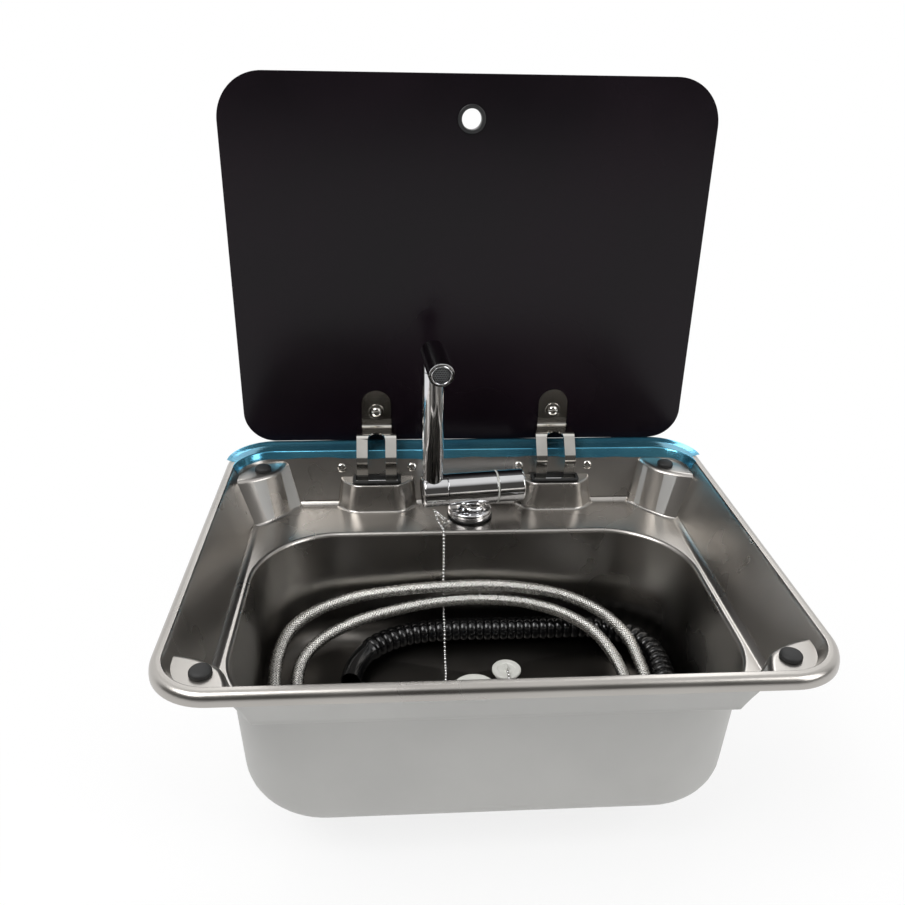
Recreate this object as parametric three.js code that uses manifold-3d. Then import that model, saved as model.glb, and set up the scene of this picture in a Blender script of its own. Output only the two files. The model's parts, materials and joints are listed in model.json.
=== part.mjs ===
// Drop-in caravan sink: pressed basin, hinged glass lid, folding mixer tap and its fitting kit.
// Millimetres, +Z up. Origin: centre of the rim on the plane of its top face. -Y is the user's side.
import * as THREE from "three";
import { mergeVertices } from "three/addons/utils/BufferGeometryUtils.js";
import Module from "manifold-3d";

const wasm = await Module();
wasm.setup();

// ---------- driving dimensions ----------
const GAP = 0.3; // between pieces that touch
const SHEET = 1; // steel of the basin

const RIM_WIDTH = 480;
const RIM_LENGTH = 390;
const RIM_CORNER = 46;
const RIM_DROP = 9; // the rolled edge turns down by this
const RIM_SIDE = 9.5; // flat flange beside, before and behind the recess
const RIM_FRONT = 10;
const RIM_REAR = 22.5;
const RECESS_CORNER = 36;
const RECESS_DEPTH = 54;
const RECESS_DRAFT = { side: 20.5, front: 23, rear: 16.5 };
const RECESS_FILLET = 3;

const BOWL_SIDE_LEDGE = 9; // tray left beside the bowl
const BOWL_FRONT_LEDGE = 5; // tray left in front of it
const TAP_LEDGE = 59.4; // tray left behind it
const BOWL_CORNER = 75;
const BOWL_DEPTH = 117;
const BOWL_DRAFT = 4.5;
const BOWL_LIP = 4;
const BOWL_FILLET = 27;
const BOWL_DISH = 4;

const PAD_DROP = 10; // corner pads lie this far below the rim
// Edge of a pad at its top and at its foot: distances from the recess's corner along X and Y.
const PAD_REACH_TOP = [[4, 47], [16, 43], [30, 36.5], [39, 29], [44, 18], [48, 4]];
const PAD_REACH_BASE = [[15, 61], [30, 54], [38, 46], [46, 37], [53, 28], [61, 20]];
const BUMPER_DIAMETER = 16;
const BUMPER_INSET = { x: 26, front: 25, rear: 22.5 }; // from the recess edge
const BUMPER_STEM = 5;
const BUMPER_BARB = 1.3; // the stem widens by this below the sheet

const HINGE_X = 91.5;
const BOSS_DROP = 26;
const BOSS_REACH = 21.555556; // boss front edge ahead of the rear wall, at the boss's height
const BOSS_NOSE = 2.5; // the front edge's half width is this much under the grommet's
const BOSS_SPREAD = 15; // the boss widens by this on each side towards the wall
const BOSS_FLARE = 4;
const PIVOT_DROP = 12;
const PIVOT_BACK = 12.5; // hinge pin behind the recess's rear edge
const PIN_DIAMETER = 5;
const PIN_HEAD = 1.2; // thickness of a pin's heads, and how far they stand out
const PIN_PLAY = 2.7; // from an ear to the head
const HUB_RADIUS = 5;
const RIVET_OFFSET = 36;
const RIVET_DROP = 17;
const RIVET_HEAD = 9.5;
const RIVET_SHANK = 4.8;
const RIVET_TAIL = 4.5; // length of the upset end behind the bracket
const BRACKET_SHEET = 1.5;
const BRACKET_HEIGHT = 14;
const BRACKET_EDGE = 8; // bracket beyond each rivet's centre
const EAR_RADIUS = 5.5;
const EAR_PLAY = 0.8; // from the strap to an ear

const STRAP_SHEET = 1.6;
const STRAP_TAB_WIDTH = 30;
const STRAP_WIDTH = 40;
const STRAP_SLOT = 18;
const STRAP_TOP = 58.6;
const STRAP_SHOULDER = 21; // height where the tab widens
const STRAP_SETBACK = 8.8; // the strip's foremost line behind the boss's front edge
const STRAP_UNDER = 3.092453; // its middle line under the slot's rear edge
const TAB_SCREW_HEIGHT = 35.8;
const GROMMET = {
  play: 1.5, // from the strap to its side walls
  depth: 17,
  wall: 3,
  proud: 3,
  below: 1.2,
  groove: 1.4,
  setBack: 3.5, // behind the boss's front edge
};

const LID_THICKNESS = 5;
const LID_CLEARANCE = 3.25; // lower edge above the rim when open
const LID_SIDE_CLEARANCE = 4; // closed lid to the recess's edge
const LID_FRONT_CLEARANCE = 2.75;
const LID_FREE_CORNER = 42;
const LID_CORNER_CLEARANCE = 5; // less radius than the recess at the hinge side
const LID_ARRIS = 0.6;
const RING_OUTER = 25.4;
const RING_HOLE = 18;
const RING_FROM_TOP = 37.5;
const RING_LIP = 1.7; // thickness of the finger ring's flange
const RING_SLEEVE = 1.2; // wall of its sleeve through the glass
const SCREW_SHANK = 5;
const SCREW_HEAD = 5; // radius
const SCREW_PLAY = 1; // around the shank in the glass
const SCREW_TAIL = 4.2; // beyond the glass
const WASHER_DIAMETER = 15.5;
const WASHER_SHEET = 1;
const CAP_NUT_RADIUS = 7;

const TAP_X = 2;
const TAP_FROM_WALL = 25; // tap's own axis ahead of the tray's rear crease
const TAP_YAW = THREE.MathUtils.degToRad(7);
const TAP_AXIS = 30.5; // height of the fold axis over the tray
const TAP_RADIUS = 16.2;
const TAP_BODY = [-24, 25.5]; // along the fold axis
const TAP_KNOB = 27;
const TAP_BAND = 1.2;
const NECK_X = 3;
const NECK_RADIUS = 12;
const ESCUTCHEON_RADIUS = 22;
const ESCUTCHEON_HEIGHT = 7;
const TAP_SEAL = 1.5;
const CHAIN_STAY = 0.8; // plate under the seal that holds the plug chain
const COLUMN_RADIUS = 10.3;
const COLUMN_WALL = 1.8;
const COLUMN_SOCKET = 3; // the column goes this far below the fold axis
const COLUMN_HEIGHT = 142.5; // head axis over the fold axis
const COLLAR_SHOULDER = 3.7; // between the column and the body
const COLLAR_TIP = 0.7; // beyond the column
const HEAD_RADIUS = 11.8;
const HEAD_FRONT = 43;
const HEAD_BACK = 12;
const HEAD_SLOPE = THREE.MathUtils.degToRad(8);
const HEAD_SLEEVE = 4.5; // below the head, of the column's own diameter
const HEAD_SPIGOT = 14; // the swivel's length inside the column
const AERATOR_WALL = 2; // of the head around the aerator
const AERATOR_DEPTH = 12;
const WATERWAY = 6; // radius of the bore in the head
const SPIGOT = { radius: 9, length: 11 }; // the collar turns on it inside the body
const CARTRIDGE = { radius: 11.5, length: 20 };
const STEM_RADIUS = 4;
const STEM_LENGTH = 9;
const SHANK_RADIUS = 13;
const SHANK_WALL = 4;
const SHANK_LENGTH = 46;
const DECK_WASHER = 3;
const SHANK_NUT = { height: 8, flats: 38, collar: 2 };

const WASTE_X = 0;
const WASTE_Y = 5;
const WASTE_FLANGE = 22;
const WASTE_TAIL = 14;
const WASTE_WALL = 2.5;
const WASTE_LENGTH = 46;
const WASTE_STEP = 26; // the tail narrows to the hose spigot this far down
const WASTE_SPIGOT = 11;
const WASTE_SEAL = 1.2;
const WASTE_WASHER = 2.5;
const WASTE_NUT = { height: 9, notches: 8, notch: 2.6 };
const WASTE_SEAT_EDGE = 5; // level seat around the flange, that the floor falls to

const CHAIN_DIAMETER = 3;
const CHAIN_RING_RADIUS = 9;
const CHAIN_WIRE = 0.6; // radius of the ring's wire
const CHAIN_EYE_REACH = [-26.5, -18, 4]; // from the tap's foot
const EYE_RADIUS = 2.4;
const PLUG = { x: 32, y: 25, radius: 14, height: 8, lift: 2, eye: 2.6, eyeWire: 0.8 };
const BRAIDED_DIAMETER = 12;
const NUT_FLATS = 19;
const NUT_LENGTH = 13;
const FERRULE_LENGTH = 14;
const DRAIN_HOSE = { diameter: 23, valley: 19.6, bore: 17.6, pitch: 8, ribsPerBoreRing: 5 };

// Routes of what lies in the bowl, as chosen points.
const CHAIN_ROUTE = [
  [-34, 107.4, -37.5], [-32.6, 106, -43], [-30, 104.4, -49], [-27.8, 101.8, -51.2],
  [-26.6, 97.4, -51.8], [-26.2, 94.2, -55], [-26, 93.6, -61], [-26, 93.4, -70],
  [-26, 93.2, -84], [-26, 92.6, -102], [-26, 91.8, -114], [-26, 88, -126], [-26, 80.5, -138.5],
  [-26, 70, -141.6], [-26, 61, -150], [-26, 54, -162], [-26, 44, -169.6], [-26.2, 30, -171],
  [-27, 12, -172.6], [-26, -6, -173], [-18, -21, -173], [-2, -27, -173], [16, -25, -173],
  [28, -14, -172.4], [32, -2, -169], [32.4, 8, -163], [32, 16, -161.4],
];
const SUPPLY_ROUTES = [
  [
    [-146, -102, -159.4], [-156, -88, -159.8], [-168, -68, -161.5], [-179, -40, -160],
    [-184, -8, -150], [-184, 24, -141], [-174, 52, -132], [-150, 70, -124], [-115, 80, -117],
    [-70, 83.5, -112], [-26, 84.2, -109], [15, 84.6, -108.6], [55, 83.5, -112], [95, 78.5, -119],
    [130, 62, -129], [150, 39, -140], [158, 12, -152], [160, -15, -160], [157, -45, -163.5],
    [150, -72, -160.6], [140, -92, -159.4],
  ],
  [
    [-140, -64, -162], [-149, -50, -162], [-158, -30, -162.6], [-165, 0, -158], [-162, 26, -150],
    [-146, 46, -142], [-115, 61, -133], [-70, 72, -126], [-26, 77.5, -121.6], [15, 78.2, -120.8],
    [55, 75.5, -124], [92, 65.5, -131], [119, 48, -140], [135, 22, -151], [141, -8, -160],
    [139, -30, -162.4], [132, -50, -160.6],
  ],
];
const DRAIN_ROUTE = [
  [-116, 6, -159], [-112, 28, -159], [-96, 54, -158], [-64, 71, -156.5], [-26, 75.1, -154.8],
  [30, 75.1, -154.8], [80, 75.1, -154.8], [124, 74.2, -154.8], [148, 68, -155.4],
  [166, 54, -155.6], [176.5, 32, -156], [177.5, 5, -156.4], [176, -30, -157.4],
  [170.5, -64, -158.6], [164, -92, -159],
];

const STEEL = { color: 0xb9b6b0, roughness: 0.35, metalness: 1 };
const POLISHED = { color: 0xd6d6d8, roughness: 0.12, metalness: 1 };
const CHROME = { color: 0xdcdde0, roughness: 0.06, metalness: 1 };
const ZINC = { color: 0xa9abad, roughness: 0.45, metalness: 1 };
const GLASS = { color: 0x0b0a0d, roughness: 0.08, metalness: 0 };
const RUBBER = { color: 0x141414, roughness: 0.75, metalness: 0 };
const WHITE = { color: 0xe7e7e2, roughness: 0.5, metalness: 0 };
const BRAID = { color: 0x9b9b98, roughness: 0.4, metalness: 0.9 };
const BRASS = { color: 0xb99a56, roughness: 0.4, metalness: 1 };

// ---------- places that follow ----------
const RECESS = {
  x0: -RIM_WIDTH / 2 + RIM_SIDE,
  x1: RIM_WIDTH / 2 - RIM_SIDE,
  y0: -RIM_LENGTH / 2 + RIM_FRONT,
  y1: RIM_LENGTH / 2 - RIM_REAR,
};
const TRAY = {
  x0: RECESS.x0 + RECESS_DRAFT.side,
  x1: RECESS.x1 - RECESS_DRAFT.side,
  y0: RECESS.y0 + RECESS_DRAFT.front,
  y1: RECESS.y1 - RECESS_DRAFT.rear,
};
const BOWL = {
  x0: TRAY.x0 + BOWL_SIDE_LEDGE,
  x1: TRAY.x1 - BOWL_SIDE_LEDGE,
  y0: TRAY.y0 + BOWL_FRONT_LEDGE,
  y1: TRAY.y1 - TAP_LEDGE,
};
const BOWL_FLOOR = -RECESS_DEPTH - BOWL_DEPTH;
const WASTE_FLOOR = BOWL_FLOOR - BOWL_DISH;
const WASTE_SEAT = WASTE_FLANGE + WASTE_SEAT_EDGE;
const WALL_TILT = Math.atan2(RECESS_DRAFT.rear, RECESS_DEPTH);
const GROMMET_WIDTH = STRAP_WIDTH + 2 * (GROMMET.play + GROMMET.wall);
const WALL_RUN = (RECESS_DRAFT.rear * BOSS_DROP) / RECESS_DEPTH;
const BOSS_FRONT = BOSS_REACH + WALL_RUN; // ahead of the recess's rear edge
const BOSS_HALF_FRONT = GROMMET_WIDTH / 2 - BOSS_NOSE;
const BOSS_HALF_REAR = BOSS_HALF_FRONT + BOSS_SPREAD;
const EAR_INNER = STRAP_WIDTH / 2 + EAR_PLAY;
const BRACKET_WIDTH = 2 * (RIVET_OFFSET + BRACKET_EDGE);
const PIVOT = new THREE.Vector2(RECESS.y1 + PIVOT_BACK, -PIVOT_DROP); // y and z
const STRAP_FRONT = RECESS.y1 - BOSS_FRONT + STRAP_SETBACK;
const SLOT_FRONT = RECESS.y1 - BOSS_FRONT + GROMMET.setBack;
const LID_FRONT = PIVOT.x + PIVOT_DROP - LID_THICKNESS; // open lid: the face towards the user
const LID_BOTTOM = LID_CLEARANCE;
const LID_WIDTH = RECESS.x1 - RECESS.x0 - 2 * LID_SIDE_CLEARANCE;
// Closed, the lid lies flush with the rim: its hinge edge comes this far back.
const LID_REAR_CLOSED = PIVOT.x - (LID_BOTTOM - PIVOT.y);
const LID_HEIGHT = LID_REAR_CLOSED - RECESS.y0 - LID_FRONT_CLEARANCE;
const LID_HINGE_CORNER = RECESS_CORNER - LID_CORNER_CLEARANCE;
const BUMPER_HEIGHT = PAD_DROP - LID_THICKNESS - GAP;
const RING_HEIGHT = LID_BOTTOM + LID_HEIGHT - RING_FROM_TOP;
const TAP_Y = TRAY.y1 - TAP_FROM_WALL;
const COLUMN_X = TAP_BODY[0] - COLLAR_SHOULDER - COLUMN_RADIUS;
const COLUMN_BORE = COLUMN_RADIUS - COLUMN_WALL;
const COLLAR_END = COLUMN_X - COLUMN_RADIUS - COLLAR_TIP;
const KNOB_START = TAP_BODY[1] + 2 * GAP + TAP_BAND;
// Heights in the tap's frame, up from the tray: stay, seal, escutcheon.
const TRAY_LEVEL = -TAP_AXIS;
const SEAL_BASE = TRAY_LEVEL + 2 * GAP + CHAIN_STAY;
const ESCUTCHEON_BASE = SEAL_BASE + TAP_SEAL + GAP;
const ESCUTCHEON_TOP = ESCUTCHEON_BASE + ESCUTCHEON_HEIGHT;

const sink = new THREE.Group();
sink.name = "rv_sink";

// ---------- solids ----------
function toSolid(geometry) {
  const bare = new THREE.BufferGeometry();
  bare.setAttribute("position", geometry.getAttribute("position").clone());
  if (geometry.index) bare.setIndex(geometry.index.clone());
  const merged = mergeVertices(bare, 1e-4);
  return new wasm.Manifold(
    new wasm.Mesh({
      numProp: 3,
      vertProperties: new Float32Array(merged.attributes.position.array),
      triVerts: new Uint32Array(merged.index.array),
    }),
  );
}

function toGeometry(solid) {
  const mesh = solid.getMesh();
  const indexed = new THREE.BufferGeometry();
  indexed.setAttribute("position", new THREE.BufferAttribute(mesh.vertProperties, 3));
  indexed.setIndex(new THREE.BufferAttribute(mesh.triVerts, 1));
  const geometry = indexed.toNonIndexed();
  geometry.computeVertexNormals();
  return geometry;
}

// A mesh made from a geometry or a solid, in a group.
function piece(name, shape, look, group = sink) {
  const geometry = shape.isBufferGeometry ? shape : toGeometry(shape);
  const mesh = new THREE.Mesh(geometry, new THREE.MeshStandardMaterial(look));
  mesh.name = name;
  group.add(mesh);
  return mesh;
}

function move(geometry, x, y, z) {
  return geometry.translate(x, y, z);
}

function box(x0, x1, y0, y1, z0, z1) {
  const geometry = new THREE.BoxGeometry(x1 - x0, y1 - y0, z1 - z0);
  return toSolid(move(geometry, (x0 + x1) / 2, (y0 + y1) / 2, (z0 + z1) / 2));
}

// A closed body through rings of points, lowest first, each ring anticlockwise from above.
function loft(rings) {
  const count = rings[0].length;
  const points = [];
  const faces = [];
  rings.forEach((ring) => ring.forEach((p) => points.push(p.x, p.y, p.z)));
  for (let level = 0; level + 1 < rings.length; level += 1) {
    for (let i = 0; i < count; i += 1) {
      const a = level * count + i;
      const b = level * count + ((i + 1) % count);
      faces.push(a, b, b + count, a, b + count, a + count);
    }
  }
  [rings[0], rings[rings.length - 1]].forEach((ring, end) => {
    const centre = ring.reduce((sum, p) => sum.add(p), new THREE.Vector3()).divideScalar(count);
    const hub = points.length / 3;
    const start = end * (rings.length - 1) * count;
    points.push(centre.x, centre.y, centre.z);
    for (let i = 0; i < count; i += 1) {
      const a = start + i;
      const b = start + ((i + 1) % count);
      if (end) faces.push(a, b, hub);
      else faces.push(b, a, hub);
    }
  });
  const geometry = new THREE.BufferGeometry();
  geometry.setAttribute("position", new THREE.Float32BufferAttribute(points, 3));
  geometry.setIndex(faces);
  return toSolid(geometry);
}

// Ring of a rounded rectangle grown outwards by grow.
function roundedRing(area, corner, z, grow = 0, steps = 5) {
  const radius = Math.max(corner + grow, 1);
  const centres = [
    [area.x1 + grow - radius, area.y1 + grow - radius, 0],
    [area.x0 - grow + radius, area.y1 + grow - radius, 1],
    [area.x0 - grow + radius, area.y0 - grow + radius, 2],
    [area.x1 + grow - radius, area.y0 - grow + radius, 3],
  ];
  const ring = [];
  centres.forEach(([x, y, quarter]) => {
    for (let i = 0; i <= steps; i += 1) {
      const angle = (quarter + i / steps) * (Math.PI / 2);
      ring.push(new THREE.Vector3(x + radius * Math.cos(angle), y + radius * Math.sin(angle), z));
    }
  });
  return ring;
}

// Body of revolution about Z from [radius, height] pairs that run upwards on the outside.
function turned(profile, segments = 18) {
  const points = profile.map(([r, h]) => new THREE.Vector2(Math.max(r, 0), h));
  return new THREE.LatheGeometry(points, segments).rotateX(Math.PI / 2);
}

function disc(radius, z0, z1, segments = 18) {
  return toSolid(turned([[0, z0], [radius, z0], [radius, z1], [0, z1]], segments));
}

function tube(outer, inner, z0, z1, segments = 18) {
  return toSolid(
    turned([[inner, z0], [outer, z0], [outer, z1], [inner, z1], [inner, z0]], segments),
  );
}

// A profile in Y and Z, as a shape in the X-Y plane, pushed along X from x0 to x1.
function pushedAlongX(shape, x0, x1, curveSegments = 4) {
  const geometry = new THREE.ExtrudeGeometry(shape, {
    depth: x1 - x0,
    bevelEnabled: false,
    curveSegments,
  });
  geometry.rotateX(Math.PI / 2).rotateZ(Math.PI / 2);
  return toSolid(geometry.translate(x0, 0, 0));
}

// Turned body laid along +X, starting at x.
function alongX(profile, segments = 18) {
  return turned(profile, segments).rotateY(Math.PI / 2);
}

// Path with its corners rounded: each entry is [u, v, radius].
function roundedPath(corners, steps = 3) {
  const path = [];
  corners.forEach(([u, v, radius], i) => {
    const here = new THREE.Vector2(u, v);
    if (!radius) {
      path.push(here);
      return;
    }
    const from = new THREE.Vector2(...corners[i - 1]).sub(here).normalize();
    const to = new THREE.Vector2(...corners[i + 1]).sub(here).normalize();
    const half = Math.acos(from.dot(to)) / 2;
    const centre = here.clone().addScaledVector(
      from.clone().add(to).normalize(), radius / Math.sin(half));
    const start = here.clone().addScaledVector(from, radius / Math.tan(half)).sub(centre);
    const end = here.clone().addScaledVector(to, radius / Math.tan(half)).sub(centre);
    let sweep = end.angle() - start.angle();
    if (sweep > Math.PI) sweep -= 2 * Math.PI;
    if (sweep < -Math.PI) sweep += 2 * Math.PI;
    for (let k = 0; k <= steps; k += 1) {
      path.push(start.clone().rotateAround(new THREE.Vector2(), (sweep * k) / steps).add(centre));
    }
  });
  return path;
}

// Outline of a strip of even thickness that follows a path.
function ribbon(path, thickness) {
  const left = [];
  const right = [];
  path.forEach((p, i) => {
    const before = path[Math.max(i - 1, 0)];
    const after = path[Math.min(i + 1, path.length - 1)];
    const along = after.clone().sub(before).normalize();
    const normal = new THREE.Vector2(-along.y, along.x).multiplyScalar(thickness / 2);
    left.push(p.clone().add(normal));
    right.push(p.clone().sub(normal));
  });
  return new THREE.Shape([...left, ...right.reverse()]);
}

function hexagon(acrossFlats, z0, z1) {
  const geometry = new THREE.CylinderGeometry(
    acrossFlats / Math.sqrt(3), acrossFlats / Math.sqrt(3), z1 - z0, 6);
  return toSolid(geometry.rotateX(Math.PI / 2).translate(0, 0, (z0 + z1) / 2));
}

// ---------- basin ----------
function recessBody(grow, top) {
  const wall = (height) => {
    const share = height / RECESS_DEPTH;
    return {
      x0: TRAY.x0 - RECESS_DRAFT.side * share,
      x1: TRAY.x1 + RECESS_DRAFT.side * share,
      y0: TRAY.y0 - RECESS_DRAFT.front * share,
      y1: TRAY.y1 + RECESS_DRAFT.rear * share,
    };
  };
  const corner = (height) => RECESS_CORNER - (1 - height / RECESS_DEPTH) * RECESS_DRAFT.side / 2;
  const ring = (height, inset) =>
    roundedRing(wall(height), corner(height), height - RECESS_DEPTH, grow - inset);
  const rings = [ring(0, RECESS_FILLET), ring(RECESS_FILLET * 0.3, RECESS_FILLET * 0.3)];
  rings.push(ring(RECESS_FILLET, 0));
  rings[0].forEach((p) => { p.z -= grow; });
  rings.push(ring(RECESS_DEPTH - 2, 0));
  rings.push(ring(RECESS_DEPTH, grow ? 0 : -1));
  rings[rings.length - 1].forEach((p) => { p.z = grow ? -SHEET / 2 : 0; });
  if (top) {
    const above = rings[rings.length - 1].map((p) => p.clone());
    above.forEach((p) => { p.z = top; });
    rings.push(above);
  }
  return loft(rings);
}

function bowlBody(grow, top) {
  const base = -RECESS_DEPTH;
  const ring = (z, inset) => roundedRing(BOWL, BOWL_CORNER, z, grow - inset);
  const rings = [];
  const foot = BOWL_DRAFT + BOWL_FILLET;
  const seat = {
    x0: WASTE_X - WASTE_SEAT,
    x1: WASTE_X + WASTE_SEAT,
    y0: WASTE_Y - WASTE_SEAT,
    y1: WASTE_Y + WASTE_SEAT,
  };
  rings.push(roundedRing(seat, WASTE_SEAT, BOWL_FLOOR - BOWL_DISH - grow));
  [0, 22, 45, 68].forEach((degrees) => {
    const angle = THREE.MathUtils.degToRad(degrees);
    rings.push(ring(
      BOWL_FLOOR - grow + BOWL_FILLET * (1 - Math.cos(angle)),
      foot - BOWL_FILLET * Math.sin(angle)));
  });
  rings.push(ring(BOWL_FLOOR + BOWL_FILLET, BOWL_DRAFT));
  rings.push(ring(base - BOWL_LIP, 0));
  // The lip is rounded about one centre on both faces of the sheet.
  const lip = BOWL_LIP - grow;
  rings.push(ring(base - BOWL_LIP + lip * Math.SQRT1_2, grow - BOWL_LIP + lip * Math.SQRT1_2));
  rings.push(ring(base - grow, grow - BOWL_LIP));
  rings.push(ring(top, grow - BOWL_LIP));
  return loft(rings);
}

// Corner pad: its edge is a smooth curve around the recess's corner.
function padBody(corner, skin) {
  const reach = (points, shrink) => new THREE.SplineCurve(
    points.map(([x, y]) => new THREE.Vector2(x, y).multiplyScalar(1 - shrink / points[2][1])),
  ).getPoints(9);
  const outside = [[62, -30], [-30, -30], [-30, 62]];
  const ring = (points, z, shrink) => {
    const edge = reach(points, shrink);
    const first = edge[0];
    const last = edge[edge.length - 1];
    const plan = [
      ...edge, new THREE.Vector2(last.x, outside[0][1]),
      new THREE.Vector2(...outside[1]), new THREE.Vector2(outside[2][0], first.y),
    ];
    const placed = plan.map((p) => new THREE.Vector3(
      corner.x + corner.inX * p.x, corner.y + corner.inY * p.y, z));
    return corner.inX * corner.inY > 0 ? placed.reverse() : placed;
  };
  const top = -PAD_DROP - skin;
  const blend = (share) => PAD_REACH_TOP.map(([x, y], i) => [
    x + (PAD_REACH_BASE[i][0] - x) * share, y + (PAD_REACH_BASE[i][1] - y) * share]);
  return loft([
    ring(blend(1.2), -RECESS_DEPTH - 9, skin),
    ring(blend(1), -RECESS_DEPTH, skin),
    ring(blend(0.07), top - 3, skin),
    ring(blend(0), top - 0.8, skin + 1),
    ring(blend(0), top, skin + 3),
  ]);
}

// Boss that carries a hinge, pressed up from the tray against the rear wall.
function bossBody(x, skin) {
  const ring = (z, flare) => {
    const front = RECESS.y1 - BOSS_FRONT - flare + skin;
    const narrow = BOSS_HALF_FRONT + flare - skin * 0.5;
    const wide = BOSS_HALF_REAR + flare - skin;
    const back = RECESS.y1 + 14;
    return [
      [x + wide, back], [x - wide, back], [x - wide, front + wide - narrow],
      [x - narrow, front], [x + narrow, front], [x + wide, front + wide - narrow],
    ].map(([px, py]) => new THREE.Vector3(px, py, z));
  };
  const top = -BOSS_DROP - skin;
  return loft([
    ring(-RECESS_DEPTH - 9, BOSS_FLARE * 1.3),
    ring(-RECESS_DEPTH, BOSS_FLARE),
    ring(top - 2, 0.3),
    ring(top - 0.6, -0.3),
    ring(top, -1.2),
  ]);
}

const PAD_CORNERS = [
  { name: "front_left", x: RECESS.x0, y: RECESS.y0, inX: 1, inY: 1 },
  { name: "front_right", x: RECESS.x1, y: RECESS.y0, inX: -1, inY: 1 },
  { name: "rear_left", x: RECESS.x0, y: RECESS.y1, inX: 1, inY: -1 },
  { name: "rear_right", x: RECESS.x1, y: RECESS.y1, inX: -1, inY: -1 },
];
const HINGES = [{ side: "left", x: -HINGE_X }, { side: "right", x: HINGE_X }];

function bumperPlace(corner) {
  const inset = corner.inY > 0 ? BUMPER_INSET.front : BUMPER_INSET.rear;
  return { x: corner.x + corner.inX * BUMPER_INSET.x, y: corner.y + corner.inY * inset };
}

// Places something made about Z with its axis square to the rear wall, at a rivet's centre.
function onRearWall(geometry, x) {
  const y = TRAY.y1 + (RECESS_DEPTH - RIVET_DROP) * Math.tan(WALL_TILT);
  return geometry.rotateX(Math.PI / 2 - WALL_TILT).translate(x, y, -RIVET_DROP);
}

function rivetPlaces() {
  return HINGES.flatMap(({ side, x }) => [
    { name: `rivet_${side}_outer`, x: x + Math.sign(x) * RIVET_OFFSET },
    { name: `rivet_${side}_inner`, x: x - Math.sign(x) * RIVET_OFFSET },
  ]);
}

function slotRing(hinge, grow, z) {
  const area = {
    x0: hinge.x - GROMMET_WIDTH / 2,
    x1: hinge.x + GROMMET_WIDTH / 2,
    y0: SLOT_FRONT,
    y1: SLOT_FRONT + GROMMET.depth,
  };
  return roundedRing(area, 4, z, grow, 3);
}

// Cutter for a round hole about Z.
function drill(radius, reach, segments = 18) {
  return turned([[0, -reach], [radius, -reach], [radius, reach], [0, reach]], segments);
}

function basin() {
  const rimArea = {
    x0: -RIM_WIDTH / 2, x1: RIM_WIDTH / 2, y0: -RIM_LENGTH / 2, y1: RIM_LENGTH / 2,
  };
  const edge = [[-RIM_DROP, 0], [-RIM_DROP * 0.6, 0.4], [-RIM_DROP * 0.3, 1.4]];
  edge.push([-RIM_DROP * 0.08, 3.2], [0, 5.5]);
  const rimSkin = (depth) => loft(edge.map(([z, inset], i) =>
    roundedRing(rimArea, RIM_CORNER, z - (i ? depth : depth * 2), -inset - depth)));
  let shell = rimSkin(0).subtract(rimSkin(SHEET));
  shell = shell.add(recessBody(SHEET, 0)).add(bowlBody(SHEET, -RECESS_DEPTH - SHEET / 2));
  let hollow = recessBody(0, 5).add(bowlBody(0, -RECESS_DEPTH + 2));
  PAD_CORNERS.forEach((corner) => {
    hollow = hollow.subtract(padBody(corner, 0));
    shell = shell.subtract(padBody(corner, SHEET));
  });
  HINGES.forEach(({ x }) => {
    hollow = hollow.subtract(bossBody(x, 0));
    shell = shell.subtract(bossBody(x, SHEET));
  });
  shell = shell.subtract(hollow);
  PAD_CORNERS.forEach((corner) => {
    const place = bumperPlace(corner);
    const hole = drill(BUMPER_STEM / 2 + GAP, PAD_DROP / 2, 12);
    shell = shell.subtract(toSolid(move(hole, place.x, place.y, -PAD_DROP)));
  });
  rivetPlaces().forEach(({ x }) => {
    const hole = drill(RIVET_SHANK / 2 + GAP, RIVET_HEAD / 2, 10);
    shell = shell.subtract(toSolid(onRearWall(hole, x)));
  });
  HINGES.forEach((hinge) => {
    const grow = GROMMET.groove + GAP - GROMMET.wall;
    const z = -BOSS_DROP;
    shell = shell.subtract(loft([slotRing(hinge, grow, z - 4), slotRing(hinge, grow, z + 4)]));
  });
  const tapHole = drill(SHANK_RADIUS + 2 * GAP, 9);
  shell = shell.subtract(toSolid(move(tapHole, TAP_X, TAP_Y, -RECESS_DEPTH)));
  const wasteHole = drill(WASTE_TAIL + 2 * GAP, 9);
  return shell.subtract(toSolid(move(wasteHole, WASTE_X, WASTE_Y, WASTE_FLOOR)));
}
piece("basin", basin(), STEEL);

// ---------- bumpers on the corner pads ----------
function bumper(corner) {
  const radius = BUMPER_DIAMETER / 2;
  const stem = BUMPER_STEM / 2;
  const place = bumperPlace(corner);
  const dome = [[radius, GAP], [radius, BUMPER_HEIGHT * 0.45], [radius * 0.86, BUMPER_HEIGHT * 0.8]];
  const barb = [[stem + BUMPER_BARB, -SHEET - GAP], [stem, -SHEET - GAP], [stem, GAP]];
  const tip = -SHEET - GAP - BUMPER_STEM * 0.64;
  const profile = [[0, tip], [stem * 0.7, tip], ...barb, ...dome];
  profile.push([radius * 0.5, BUMPER_HEIGHT], [0, BUMPER_HEIGHT]);
  return move(turned(profile, 10), place.x, place.y, -PAD_DROP);
}
PAD_CORNERS.forEach((corner) => piece(`bumper_${corner.name}`, bumper(corner), RUBBER));

// ---------- hinges ----------
function grommet(hinge) {
  const z = -BOSS_DROP;
  const slab = (grow, z0, z1) => loft([slotRing(hinge, grow, z0), slotRing(hinge, grow, z1)]);
  const neck = GROMMET.groove - GROMMET.wall;
  return slab(0, z + GAP, z + GROMMET.proud)
    .add(slab(neck, z - SHEET - 1, z + 1))
    .add(slab(-1, z - SHEET - GAP - GROMMET.below, z - SHEET - GAP))
    .subtract(slab(-GROMMET.wall, z - 9, z + 9));
}

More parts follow.
